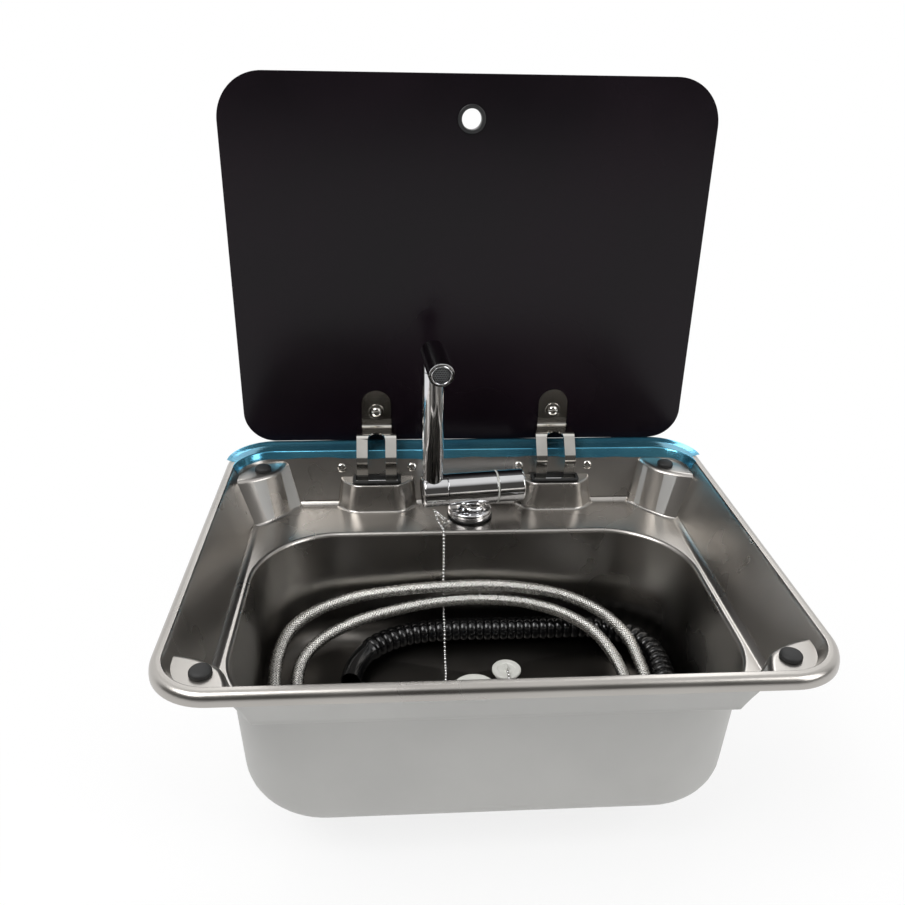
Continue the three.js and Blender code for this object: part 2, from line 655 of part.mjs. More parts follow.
function rivet(x) {
  const shank = RIVET_SHANK / 2;
  const grip = SHEET + GAP + BRACKET_SHEET + GAP;
  const head = [[RIVET_HEAD / 2, GAP], [RIVET_HEAD / 2 - 0.4, 1.1], [RIVET_HEAD / 4 + 0.4, 1.9]];
  const wide = shank * 1.3;
  const tail = [[0, -grip - RIVET_TAIL], [wide, -grip - RIVET_TAIL * 0.8], [wide, -grip], [shank, -grip]];
  const profile = [...tail, [shank, GAP], ...head, [1.3, 1.9], [1.3, 0.4], [0, 0.4]];
  return onRearWall(turned(profile, 10), x);
}
rivetPlaces().forEach(({ name, x }) => piece(name, rivet(x), POLISHED));

// The strip of the strap in side view, from the tab on the glass round to the hinge pin.
function strapPath() {
  const tabY = LID_FRONT - GAP - STRAP_SHEET / 2;
  const front = STRAP_FRONT;
  // The lowest bend lies on the line from the pin under the slot's rear edge.
  const edge = new THREE.Vector2(SLOT_FRONT + GROMMET.depth, -BOSS_DROP - SHEET - STRAP_UNDER);
  const low = edge.clone().sub(PIVOT);
  low.multiplyScalar((front + 6.7 - PIVOT.x) / low.x).add(PIVOT);
  return [
    [tabY, STRAP_TOP],
    [tabY, 18.6, 3.4],
    [front + 17.2, 18.2, 7],
    [front, -3.6, 12],
    [front + 2.7, -BOSS_DROP - 1, 8],
    [low.x, low.y, 4],
    [PIVOT.x, PIVOT.y],
  ];
}

// Front view of the strap's top: a round-topped tab, as a block from front to back.
function strapTab(far) {
  const half = STRAP_TAB_WIDTH / 2;
  const tab = new THREE.Shape();
  tab.moveTo(-half, STRAP_SHOULDER);
  tab.lineTo(half, STRAP_SHOULDER);
  tab.lineTo(half, STRAP_TOP - half);
  tab.absarc(0, STRAP_TOP - half, half, 0, Math.PI);
  return toSolid(new THREE.ExtrudeGeometry(tab, { depth: far, bevelEnabled: false, curveSegments: 8 })
    .rotateX(Math.PI / 2).translate(0, far, 0));
}

// Plan of the rest: the tab's width, then shoulders that curve out to the full width.
function strapShoulders(far) {
  const half = STRAP_TAB_WIDTH / 2;
  const wide = STRAP_WIDTH / 2;
  const bend = LID_FRONT - 4;
  const plan = new THREE.Shape();
  plan.moveTo(-half, LID_FRONT);
  plan.lineTo(-half, bend);
  plan.quadraticCurveTo(-half, bend - 6, -wide, bend - 10);
  plan.lineTo(-wide, 0);
  plan.lineTo(wide, 0);
  plan.lineTo(wide, bend - 10);
  plan.quadraticCurveTo(half, bend - 6, half, bend);
  plan.lineTo(half, LID_FRONT);
  return toSolid(new THREE.ExtrudeGeometry(plan, { depth: far, bevelEnabled: false, curveSegments: 3 })
    .translate(0, 0, STRAP_SHOULDER - far));
}

// Plan of the slot between the two legs, round at its upper end.
function strapSlot() {
  const half = STRAP_SLOT / 2;
  const top = STRAP_FRONT + 11.2;
  const plan = new THREE.Shape();
  plan.moveTo(-half, 0);
  plan.lineTo(half, 0);
  plan.lineTo(half, top - half);
  plan.absarc(0, top - half, half, 0, Math.PI);
  return toSolid(new THREE.ExtrudeGeometry(plan, { depth: 60, bevelEnabled: false, curveSegments: 6 })
    .translate(0, 0, 26 - 60));
}

function onPivot(geometry) {
  return toSolid(geometry.translate(0, PIVOT.x, PIVOT.y));
}

function strap(x) {
  const far = 300;
  const wide = STRAP_WIDTH / 2;
  const strip = pushedAlongX(ribbon(roundedPath(strapPath()), STRAP_SHEET), -wide, wide);
  const lowSlot = box(-STRAP_SLOT / 2, STRAP_SLOT / 2, 0, PIVOT.x + far, -far, PIVOT.y + 6);
  const hub = onPivot(alongX([[0, -wide], [HUB_RADIUS, -wide], [HUB_RADIUS, wide], [0, wide]], 16));
  const pinHole = onPivot(drill(PIN_DIAMETER / 2 + GAP, far, 16).rotateY(Math.PI / 2));
  const screwHole = toSolid(drill(SCREW_SHANK / 2 + GAP, far, 14)
    .rotateX(Math.PI / 2).translate(0, 0, TAB_SCREW_HEIGHT));
  const body = strip.intersect(strapTab(far).add(strapShoulders(far))).subtract(strapSlot())
    .add(hub).subtract(lowSlot).subtract(pinHole).subtract(screwHole);
  return toGeometry(body).translate(x, 0, 0);
}

// Plate riveted behind the wall, with two ears that carry the pin.
function bracket(x) {
  const wallY = (z) => TRAY.y1 + (z + RECESS_DEPTH) * Math.tan(WALL_TILT);
  const behind = (SHEET + GAP) / Math.cos(WALL_TILT);
  const top = -RIVET_DROP + BRACKET_HEIGHT / 2;
  const bottom = -RIVET_DROP - BRACKET_HEIGHT / 2 + 1.5;
  const thick = BRACKET_SHEET / Math.cos(WALL_TILT);
  const side = (extra) => new THREE.Shape([
    new THREE.Vector2(wallY(bottom) + behind, bottom),
    new THREE.Vector2(wallY(bottom) + behind + extra, bottom),
    new THREE.Vector2(wallY(top) + behind + extra, top),
    new THREE.Vector2(wallY(top) + behind, top),
  ]);
  const plate = pushedAlongX(side(thick), -BRACKET_WIDTH / 2, BRACKET_WIDTH / 2);
  const earShape = new THREE.Shape();
  earShape.moveTo(wallY(bottom) + behind + 0.2, bottom);
  earShape.lineTo(PIVOT.x, PIVOT.y - EAR_RADIUS);
  earShape.absarc(PIVOT.x, PIVOT.y, EAR_RADIUS, -Math.PI / 2, Math.PI / 2);
  earShape.lineTo(wallY(top) + behind + 0.2, top);
  let body = plate;
  [-EAR_INNER - BRACKET_SHEET, EAR_INNER].forEach((start) => {
    body = body.add(pushedAlongX(earShape, start, start + BRACKET_SHEET));
  });
  body = body.subtract(onPivot(drill(PIN_DIAMETER / 2 + GAP, HINGE_X, 16).rotateY(Math.PI / 2)));
  [-RIVET_OFFSET, RIVET_OFFSET].forEach((offset) => {
    const hole = drill(RIVET_SHANK / 2 + GAP, 9, 10);
    body = body.subtract(toSolid(onRearWall(hole, offset)));
  });
  return toGeometry(body).translate(x, 0, 0);
}

function hingePin(x) {
  const radius = PIN_DIAMETER / 2;
  const half = EAR_INNER + BRACKET_SHEET + PIN_PLAY;
  const head = radius + PIN_HEAD;
  const end = half + PIN_HEAD;
  const profile = [
    [0, -end], [head, -end], [head, -half], [radius, -half], [radius, half], [head, half],
    [head, end], [0, end],
  ];
  return alongX(profile, 14).translate(x, PIVOT.x, PIVOT.y);
}

// ---------- lid ----------
// Turned about Z, laid with its axis along Y: +Z of the profile points at the user.
function throughLid(geometry, x, z) {
  return geometry.rotateX(Math.PI / 2).translate(x, LID_FRONT, z);
}

function lidGlass() {
  const outline = new THREE.Shape();
  const half = LID_WIDTH / 2 - LID_ARRIS;
  const low = LID_BOTTOM + LID_ARRIS;
  const high = LID_BOTTOM + LID_HEIGHT - LID_ARRIS;
  const quarter = Math.PI / 2;
  const hinged = LID_HINGE_CORNER;
  const free = LID_FREE_CORNER;
  outline.moveTo(-half + hinged, low);
  outline.lineTo(half - hinged, low);
  outline.absarc(half - hinged, low + hinged, hinged, -quarter, 0);
  outline.absarc(half - free, high - free, free, 0, quarter);
  outline.absarc(-half + free, high - free, free, quarter, 2 * quarter);
  outline.absarc(-half + hinged, low + hinged, hinged, 2 * quarter, 3 * quarter);
  let glass = toSolid(new THREE.ExtrudeGeometry(outline, {
    depth: LID_THICKNESS - 2 * LID_ARRIS,
    bevelThickness: LID_ARRIS,
    bevelSize: LID_ARRIS,
    bevelSegments: 1,
    curveSegments: 6,
  }).rotateX(Math.PI / 2).translate(0, LID_FRONT + LID_THICKNESS - LID_ARRIS, 0));
  const hole = (radius, x, z) => {
    const bore = drill(radius, 30, 20);
    glass = glass.subtract(toSolid(throughLid(bore, x, z)));
  };
  HINGES.forEach(({ x }) => hole(SCREW_SHANK / 2 + SCREW_PLAY, x, TAB_SCREW_HEIGHT));
  hole(RING_HOLE / 2 + RING_SLEEVE + GAP, 0, RING_HEIGHT);
  return glass;
}

function ringFront() {
  const outer = RING_OUTER / 2;
  const inner = RING_HOLE / 2;
  const sleeve = inner + RING_SLEEVE;
  const end = -LID_THICKNESS - GAP;
  return throughLid(turned([
    [inner, end], [sleeve, end], [sleeve, GAP], [outer, GAP], [outer, RING_LIP - 0.8],
    [outer - 1, RING_LIP], [inner + 0.9, RING_LIP], [inner, RING_LIP - 0.8], [inner, end],
  ], 18), 0, RING_HEIGHT);
}

function ringBack() {
  const outer = RING_OUTER / 2;
  const inner = RING_HOLE / 2;
  const face = -LID_THICKNESS - 2 * GAP;
  const back = face - RING_LIP + 0.1;
  return throughLid(turned([
    [inner, back], [outer - 0.8, back], [outer, back + 0.8], [outer, face], [inner, face],
    [inner, back],
  ], 18), 0, RING_HEIGHT);
}

function lidScrew(x) {
  const shank = SCREW_SHANK / 2;
  const seat = GAP + STRAP_SHEET + GAP + WASHER_SHEET + GAP;
  const rim = [[SCREW_HEAD, seat], [SCREW_HEAD, seat + 1.4], [SCREW_HEAD - 1.2, seat + 2.6]];
  const socket = [[1.6, seat + 3], [1.2, seat + 1.6], [0, seat + 1.2]];
  const end = -LID_THICKNESS - SCREW_TAIL;
  return throughLid(
    turned([[0, end], [shank, end], [shank, seat], ...rim, ...socket], 14), x, TAB_SCREW_HEIGHT);
}

function lidWasher(x) {
  const seat = GAP + STRAP_SHEET + GAP;
  const top = seat + WASHER_SHEET;
  const outer = WASHER_DIAMETER / 2;
  const inner = SCREW_SHANK / 2 + GAP;
  const profile = [[inner, seat], [outer, seat], [outer, top], [inner, top], [inner, seat]];
  return throughLid(turned(profile, 18), x, TAB_SCREW_HEIGHT);
}

function capNut(x) {
  const face = -LID_THICKNESS - GAP;
  const inner = SCREW_SHANK / 2 + GAP;
  const outer = CAP_NUT_RADIUS;
  const bottom = -LID_THICKNESS - SCREW_TAIL - GAP;
  return throughLid(turned([
    [0, bottom - 1.2], [outer - 3, bottom - 1], [outer - 0.6, bottom + 0.6], [outer, face - 0.4],
    [outer, face], [inner, face], [inner, bottom], [0, bottom],
  ], 14), x, TAB_SCREW_HEIGHT);
}

piece("lid_glass", lidGlass(), GLASS);
piece("finger_ring_front", ringFront(), RUBBER);
piece("finger_ring_back", ringBack(), RUBBER);
HINGES.forEach((hinge) => {
  const { side, x } = hinge;
  piece(`slot_grommet_${side}`, grommet(hinge), RUBBER);
  piece(`hinge_bracket_${side}`, bracket(x), ZINC);
  piece(`hinge_pin_${side}`, hingePin(x), ZINC);
  piece(`hinge_strap_${side}`, strap(x), POLISHED);
  piece(`strap_screw_${side}`, lidScrew(x), POLISHED);
  piece(`screw_washer_${side}`, lidWasher(x), POLISHED);
  piece(`cap_nut_${side}`, capNut(x), POLISHED);
});

// ---------- folding tap ----------
// Its own frame: the fold axis runs along X at height zero, the spout column rises along Z.
const tap = new THREE.Group();
tap.position.set(TAP_X, TAP_Y, -RECESS_DEPTH + TAP_AXIS);
tap.rotation.z = TAP_YAW;
sink.add(tap);

function tapSeal() {
  return tube(ESCUTCHEON_RADIUS + 0.6, SHANK_RADIUS + GAP, SEAL_BASE, SEAL_BASE + TAP_SEAL);
}

function escutcheon() {
  const r = ESCUTCHEON_RADIUS;
  const z = ESCUTCHEON_BASE;
  const inner = SHANK_RADIUS + GAP;
  return turned([
    [inner, z], [r, z], [r, z + 2], [r - 0.7, z + 2.4], [r - 0.7, z + 2.9], [r, z + 3.3],
    [r, z + 5.6], [r - 1.2, z + ESCUTCHEON_HEIGHT], [inner, z + ESCUTCHEON_HEIGHT], [inner, z],
  ], 22);
}

function tapBody() {
  const [x0, x1] = TAP_BODY;
  const r = TAP_RADIUS;
  const barrel = toSolid(alongX([
    [0, x0], [r - 0.5, x0], [r, x0 + 0.5], [r, x1 - 0.5], [r - 0.5, x1], [0, x1]], 22));
  const low = ESCUTCHEON_TOP + GAP;
  const flare = [[0, low], [NECK_RADIUS + 4.5, low], [NECK_RADIUS + 1.6, low + 1.4]];
  const waist = [[NECK_RADIUS + 0.3, low + 4], [NECK_RADIUS, low + 7], [NECK_RADIUS + 1.5, low + 11]];
  const neckProfile = [...flare, ...waist, [NECK_RADIUS + 1.5, 0], [0, 0]];
  const neck = toSolid(turned(neckProfile, 20).translate(NECK_X, 0, 0));
  const fold = SPIGOT.radius + GAP;
  const foldEnd = x0 + SPIGOT.length + 1;
  const foldBore = toSolid(alongX([[0, x0 - 1], [fold, x0 - 1], [fold, foldEnd], [0, foldEnd]], 20));
  const seat = CARTRIDGE.radius + GAP;
  const seatEnd = x1 - CARTRIDGE.length;
  const cartridgeBore = toSolid(alongX([[0, seatEnd], [seat, seatEnd], [seat, x1 + 1], [0, x1 + 1]], 20));
  const feed = disc(SHANK_RADIUS - SHANK_WALL, low - 1, low + 6, 16);
  return barrel.add(neck).subtract(foldBore).subtract(cartridgeBore).subtract(feed);
}

// Threaded shank below the escutcheon; it carries the two feeds down through the tray.
function tapShank() {
  const inner = SHANK_RADIUS - SHANK_WALL;
  return tube(SHANK_RADIUS, inner, TRAY_LEVEL - SHANK_LENGTH, ESCUTCHEON_TOP, 20);
}

function deckWasher() {
  const z = TRAY_LEVEL - SHEET - GAP;
  return tube(ESCUTCHEON_RADIUS - 1, SHANK_RADIUS + GAP, z - DECK_WASHER, z);
}

function shankNut() {
  const z = TRAY_LEVEL - SHEET - DECK_WASHER - 2 * GAP;
  const { height, flats, collar: flange } = SHANK_NUT;
  const hole = disc(SHANK_RADIUS + GAP, z - height - 1, z + 1);
  return hexagon(flats, z - height, z)
    .add(disc(ESCUTCHEON_RADIUS - 1, z - flange, z))
    .subtract(hole);
}

function cartridge() {
  const x0 = TAP_BODY[1] - CARTRIDGE.length + GAP;
  const x1 = TAP_BODY[1] - 0.5;
  const r = CARTRIDGE.radius;
  const bore = STEM_RADIUS + GAP;
  const floor = x1 - STEM_LENGTH;
  return alongX([
    [0, x0], [r - 1, x0], [r, x0 + 1], [r, x1], [bore, x1], [bore, floor], [0, floor]], 20);
}

function band() {
  const x = TAP_BODY[1] + GAP;
  const outer = TAP_RADIUS - 0.3;
  const inner = STEM_RADIUS + 2;
  return alongX([[inner, x], [outer, x], [outer, x + TAP_BAND], [inner, x + TAP_BAND], [inner, x]], 24);
}

function knob() {
  const end = KNOB_START + TAP_KNOB;
  const r = TAP_RADIUS;
  const stemEnd = TAP_BODY[1] - STEM_LENGTH;
  return alongX([
    [0, stemEnd], [STEM_RADIUS, stemEnd], [STEM_RADIUS, KNOB_START], [r - 0.6, KNOB_START],
    [r, KNOB_START + 0.6], [r, end - 2], [r - 0.6, end - 0.6], [r - 2.2, end], [0, end + 0.4],
  ], 22);
}

function collar() {
  const r = TAP_RADIUS;
  const x1 = TAP_BODY[0] - GAP;
  const x0 = COLLAR_END;
  const tip = TAP_BODY[0] + SPIGOT.length;
  const barrel = toSolid(alongX([
    [0, x0], [r - 2.2, x0 + 0.1], [r - 0.6, x0 + 0.7], [r, x0 + 2.2], [r, x1 - 0.5], [r - 0.5, x1],
    [SPIGOT.radius, x1], [SPIGOT.radius, tip], [0, tip],
  ], 24));
  const bore = disc(COLUMN_RADIUS + GAP, -COLUMN_SOCKET, 2 * r, 24).translate([COLUMN_X, 0, 0]);
  return barrel.subtract(bore);
}

// Where the outlet's axis meets the column's, and its slope towards the user.
function alongOutlet(geometry) {
  return geometry.rotateX(Math.PI / 2 + HEAD_SLOPE).translate(COLUMN_X, 0, COLUMN_HEIGHT);
}

function column() {
  const foot = -COLUMN_SOCKET + GAP;
  const crown = COLUMN_HEIGHT - HEAD_RADIUS - HEAD_SLEEVE - GAP;
  return tube(COLUMN_RADIUS, COLUMN_BORE, foot, crown, 22).translate([COLUMN_X, 0, 0]);
}

function outletHead() {
  const r = HEAD_RADIUS;
  const shell = toSolid(alongOutlet(turned([
    [0, -HEAD_BACK], [r * 0.5, -HEAD_BACK + 0.7], [r * 0.87, -HEAD_BACK + 3.2],
    [r, -HEAD_BACK + 7.5], [r, HEAD_FRONT - 0.6], [r - 0.6, HEAD_FRONT], [0, HEAD_FRONT],
  ], 22)));
  const spigot = COLUMN_BORE - GAP;
  const sleeve = COLUMN_HEIGHT - HEAD_RADIUS - HEAD_SLEEVE;
  const foot = sleeve - HEAD_SPIGOT;
  const neck = toSolid(turned([
    [0, foot], [spigot, foot], [spigot, sleeve], [COLUMN_RADIUS, sleeve],
    [COLUMN_RADIUS, COLUMN_HEIGHT - 2], [0, COLUMN_HEIGHT - 2],
  ], 22).translate(COLUMN_X, 0, 0));
  const water = disc(WATERWAY - 0.5, foot - 1, COLUMN_HEIGHT, 14).translate([COLUMN_X, 0, 0]);
  const seat = HEAD_RADIUS - AERATOR_WALL;
  const step = HEAD_FRONT - AERATOR_DEPTH;
  const bore = toSolid(alongOutlet(turned([
    [0, 0], [WATERWAY, 0], [WATERWAY, step], [seat, step], [seat, HEAD_FRONT + 2],
    [0, HEAD_FRONT + 2],
  ], 20)));
  return shell.add(neck).subtract(water).subtract(bore);
}

function aerator() {
  const back = HEAD_FRONT - AERATOR_DEPTH + GAP;
  const r = HEAD_RADIUS - AERATOR_WALL - GAP;
  return alongOutlet(turned([
    [4, back], [r, back], [r, HEAD_FRONT + 0.6], [r - 1.2, HEAD_FRONT + 1], [r - 1.6, HEAD_FRONT + 0.2],
    [4, HEAD_FRONT - 0.4], [4, back],
  ], 20));
}

piece("tap_seal", tapSeal(), RUBBER, tap);
piece("tap_escutcheon", escutcheon(), CHROME, tap);
piece("tap_body", tapBody(), CHROME, tap);
piece("tap_shank", tapShank(), BRASS, tap);
piece("deck_washer", deckWasher(), RUBBER, tap);
piece("shank_nut", shankNut(), BRASS, tap);
piece("mixing_cartridge", cartridge(), WHITE, tap);
piece("tap_band", band(), WHITE, tap);
piece("tap_knob", knob(), CHROME, tap);
piece("tap_collar", collar(), CHROME, tap);
piece("spout_column", column(), CHROME, tap);
piece("outlet_head", outletHead(), CHROME, tap);
piece("aerator", aerator(), CHROME, tap);

// ---------- waste ----------
const waste = new THREE.Group();
waste.position.set(WASTE_X, WASTE_Y, WASTE_FLOOR);
sink.add(waste);

function wasteSeal() {
  return tube(WASTE_FLANGE - 1, WASTE_TAIL + GAP, GAP, GAP + WASTE_SEAL);
}

function wasteBody() {
  const r = WASTE_FLANGE;
  const z = WASTE_SEAL + 2 * GAP;
  const inner = WASTE_TAIL - WASTE_WALL;
  const outlet = WASTE_SPIGOT - WASTE_WALL + 1;
  const spigotEnd = [WASTE_SPIGOT, -WASTE_LENGTH];
  const spigot = [spigotEnd, [WASTE_SPIGOT, -WASTE_STEP], [WASTE_TAIL, 1 - WASTE_STEP]];
  const flange = [[WASTE_TAIL, z], [r, z], [r, z + 1.2], [r - 1.5, z + 2.4], [WASTE_TAIL + 1, z + 1.6]];
  const bore = [[inner + 1, z + 1.2], [inner, z], [inner, -WASTE_STEP + 2], [outlet, -WASTE_STEP]];
  return turned([...spigot, ...flange, ...bore, [outlet, -WASTE_LENGTH], spigotEnd], 20);
}

function wasteWasher() {
  const top = -SHEET - GAP;
  return tube(WASTE_FLANGE, WASTE_TAIL + GAP, top - WASTE_WASHER, top);
}

function wasteNut() {
  const z = -SHEET - 2 * GAP - WASTE_WASHER;
  const { height, notches, notch } = WASTE_NUT;
  const radius = WASTE_FLANGE + 1;
  let nut = disc(radius, z - height, z).subtract(disc(WASTE_TAIL + GAP, z - height - 1, z + 1));
  for (let i = 0; i < notches; i += 1) {
    const cutter = disc(notch, z - height - 1, z + 1, 10).translate([radius + notch / 2 + 0.1, 0, 0]);
    nut = nut.subtract(cutter.rotate([0, 0, (i / notches) * 360]));
  }
  return nut;
}
piece("waste_seal", wasteSeal(), RUBBER, waste);
piece("waste_body", wasteBody(), WHITE, waste);
piece("waste_washer", wasteWasher(), RUBBER, waste);
piece("waste_nut", wasteNut(), WHITE, waste);

// ---------- plug, its chain and the fitting kit in the bowl ----------
function route(points) {
  return new THREE.CatmullRomCurve3(points.map((p) => new THREE.Vector3(...p)), false, "centripetal");
}

function polygon(radius, sides) {
  const corners = [];
  for (let i = 0; i < sides; i += 1) {
    const angle = (i / sides) * 2 * Math.PI;
    corners.push(new THREE.Vector2(radius * Math.cos(angle), radius * Math.sin(angle)));
  }
  return new THREE.Shape(corners);
}

function cord(points, diameter, sides, stepLength) {
  const curve = route(points);
  return new THREE.ExtrudeGeometry(polygon(diameter / 2, sides), {
    steps: Math.round(curve.getLength() / stepLength),
    extrudePath: curve,
  });
}

// Corrugated hose: two rings of points for each rib, and a bore that the water runs through.
function ribbedHose(points, hose, sides = 8) {
  const curve = route(points);
  const halfPitches = 2 * Math.round(curve.getLength() / hose.pitch);
  const frames = curve.computeFrenetFrames(halfPitches);
  const plain = Math.ceil((2 * hose.diameter) / hose.pitch);
  const positions = [];
  const faces = [];
  const ring = (i, radius) => {
    const centre = curve.getPointAt(i / halfPitches);
    for (let k = 0; k < sides; k += 1) {
      const angle = (k / sides) * 2 * Math.PI;
      const p = centre.clone()
        .addScaledVector(frames.normals[i], radius * Math.cos(angle))
        .addScaledVector(frames.binormals[i], radius * Math.sin(angle));
      positions.push(p.x, p.y, p.z);
    }
    return positions.length / 3 - sides;
  };
  const join = (a, b) => {
    for (let k = 0; k < sides; k += 1) {
      const next = (k + 1) % sides;
      faces.push(a + k, a + next, b + next, a + k, b + next, b + k);
    }
  };
  const starts = [];
  for (let i = 0; i <= halfPitches; i += 1) {
    const fromEnd = Math.min(i, halfPitches - i);
    const cuff = fromEnd < plain;
    const inside = fromEnd > 0 && fromEnd < plain - 1; // a cuff has rings at its two ends only
    if (!inside) starts.push(ring(i, (cuff || i % 2 ? hose.valley : hose.diameter) / 2));
  }
  const boreStep = 2 * hose.ribsPerBoreRing;
  for (let i = halfPitches; i > 0; i -= boreStep) starts.push(ring(i, hose.bore / 2));
  starts.push(ring(0, hose.bore / 2));
  starts.forEach((start, i) => join(start, starts[(i + 1) % starts.length]));
  const geometry = new THREE.BufferGeometry();
  geometry.setAttribute("position", new THREE.Float32BufferAttribute(positions, 3));
  geometry.setIndex(faces);
  return toSolid(geometry);
}

// Swivel nut with its crimped ferrule, pointing along +Z away from the hose's end.
function hoseEnd() {
  const hose = BRAIDED_DIAMETER / 2;
  const flange = GAP + FERRULE_LENGTH;
  const ferrule = toSolid(turned([
    [0, GAP], [hose - 0.2, GAP], [hose + 0.5, GAP + 2], [hose + 0.5, flange - 2], [hose - 1, flange],
    [hose - 1, flange + 4], [0, flange + 4],
  ], 10));
  const nut = hexagon(NUT_FLATS, flange, flange + NUT_LENGTH);
  const thread = disc(NUT_FLATS / 2 - 2.2, flange + 3, flange + NUT_LENGTH + 1, 10);
  const bore = disc(3.2, -1, flange + 9, 8);
  return ferrule.add(nut.subtract(thread).add(disc(hose - 1, flange, flange + 4, 10))).subtract(bore);
}

function atEnd(points, first) {
  const curve = route(points);
  const outwards = curve.getTangentAt(first ? 0 : 1).multiplyScalar(first ? -1 : 1);
  const turn = new THREE.Quaternion().setFromUnitVectors(new THREE.Vector3(0, 0, 1), outwards);
  return { position: curve.getPointAt(first ? 0 : 1), turn };
}

SUPPLY_ROUTES.forEach((points, i) => {
  piece(`supply_hose_${i + 1}`, cord(points, BRAIDED_DIAMETER, 8, 34), BRAID);
  [true, false].forEach((first) => {
    const place = atEnd(points, first);
    const end = piece(`supply_hose_${i + 1}_${first ? "inlet" : "outlet"}_nut`, hoseEnd(), CHROME);
    end.position.copy(place.position);
    end.quaternion.copy(place.turn);
  });
});
piece("drain_hose", ribbedHose(DRAIN_ROUTE, DRAIN_HOSE), RUBBER);
piece("plug_chain", cord(CHAIN_ROUTE, CHAIN_DIAMETER, 8, 10), POLISHED);

// Ring that leans against the tap, through the eye of a plate held under the tap's seal.
const TAP_FOOT = new THREE.Vector3(TAP_X, TAP_Y, -RECESS_DEPTH);
const CHAIN_EYE = new THREE.Vector3(...CHAIN_EYE_REACH).add(TAP_FOOT);
const CHAIN_RING_UP = new THREE.Vector3(-8.4, -5, 12.6).normalize();
const CHAIN_RING_SIDE = new THREE.Vector3(-5, 8.4, 0).normalize();

function wireRing(radius, centre, up, side) {
  const normal = up.clone().cross(side).normalize();
  const frame = new THREE.Matrix4().makeBasis(up, normal.clone().cross(up), normal);
  return new THREE.TorusGeometry(radius, CHAIN_WIRE, 5, 14).applyMatrix4(frame)
    .translate(centre.x, centre.y, centre.z);
}

function chainRing() {
  const centre = CHAIN_EYE.clone().addScaledVector(CHAIN_RING_UP, CHAIN_RING_RADIUS);
  return wireRing(CHAIN_RING_RADIUS, centre, CHAIN_RING_UP, CHAIN_RING_SIDE);
}

function chainStay() {
  const z = -RECESS_DEPTH + GAP;
  const ring = tube(ESCUTCHEON_RADIUS - 2, SHANK_RADIUS + GAP, z, z + CHAIN_STAY)
    .translate([TAP_X, TAP_Y, 0]);
  const across = new THREE.Vector3().crossVectors(CHAIN_RING_UP, CHAIN_RING_SIDE).normalize();
  const eye = toSolid(wireRing(EYE_RADIUS, CHAIN_EYE, CHAIN_RING_UP, across));
  const reach = new THREE.Vector2(CHAIN_EYE_REACH[0], CHAIN_EYE_REACH[1]);
  const inner = SHANK_RADIUS + 2;
  const arm = new THREE.BoxGeometry(reach.length() - inner + 1.5, 3, CHAIN_STAY)
    .translate((reach.length() + inner + 1.5) / 2, 0, z + CHAIN_STAY / 2)
    .rotateZ(reach.angle())
    .translate(TAP_X, TAP_Y, 0);
  return ring.add(toSolid(arm)).add(eye);
}

function plug() {
  const { radius, height } = PLUG;
  const body = toSolid(turned([
    [0, 0], [radius - 3, 0], [radius - 2, height * 0.6], [radius, height * 0.66], [radius, height],
    [0, height],
  ], 14));
  const eye = toSolid(new THREE.TorusGeometry(PLUG.eye, PLUG.eyeWire, 6, 12).rotateX(Math.PI / 2)
    .rotateZ(Math.PI / 2).translate(0, 0, height + PLUG.eye - 1));
  const base = WASTE_FLOOR + PLUG.lift + GAP;
  return body.add(eye).translate([PLUG.x, PLUG.y, base]);
}
piece("chain_ring", chainRing(), POLISHED);
piece("chain_stay", chainStay(), POLISHED);
piece("plug", plug(), WHITE);

export default sink;
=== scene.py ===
"""Looks of a drop-in caravan sink with a hinged glass lid, a folding tap and its fitting kit.

Sizes are in millimetres and turned into metres when a piece is finished; cord routes are in metres.
"""
import json
import math
from contextlib import contextmanager

import bmesh
import bpy
from mathutils import Matrix, Vector
from mathutils.bvhtree import BVHTree


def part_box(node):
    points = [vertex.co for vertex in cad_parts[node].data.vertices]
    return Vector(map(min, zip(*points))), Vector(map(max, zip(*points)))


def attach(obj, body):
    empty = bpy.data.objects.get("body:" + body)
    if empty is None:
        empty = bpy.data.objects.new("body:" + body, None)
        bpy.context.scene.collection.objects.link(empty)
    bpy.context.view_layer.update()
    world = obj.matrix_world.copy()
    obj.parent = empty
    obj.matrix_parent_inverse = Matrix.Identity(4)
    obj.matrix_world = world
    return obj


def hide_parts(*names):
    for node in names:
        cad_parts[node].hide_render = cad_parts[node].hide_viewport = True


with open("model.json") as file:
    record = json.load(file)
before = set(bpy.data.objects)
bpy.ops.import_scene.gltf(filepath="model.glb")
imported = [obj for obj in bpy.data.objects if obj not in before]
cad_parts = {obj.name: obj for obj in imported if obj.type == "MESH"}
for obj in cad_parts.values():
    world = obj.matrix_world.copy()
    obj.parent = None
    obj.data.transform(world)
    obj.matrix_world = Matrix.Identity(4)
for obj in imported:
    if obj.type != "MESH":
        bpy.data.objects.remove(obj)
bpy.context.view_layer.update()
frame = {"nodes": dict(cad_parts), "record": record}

MM = 0.001
SHEET = 1.0
GAP = 0.3

# ---------- the photograph's camera, in millimetres and degrees ----------
CAMERA_PLACE = (-69.9, -629.8, 372.7)
CAMERA_YAW = -4.02
CAMERA_PITCH = 25.07
CAMERA_ROLL = 1.03
CAMERA_LENS = 34.12


def add_object(name, data):
    obj = bpy.data.objects.new(name, data)
    bpy.context.scene.collection.objects.link(obj)
    return obj


def rotation(degrees, axis):
    return Matrix.Rotation(math.radians(degrees), 4, axis)


def at(x, y, z):
    return Matrix.Translation((x, y, z))


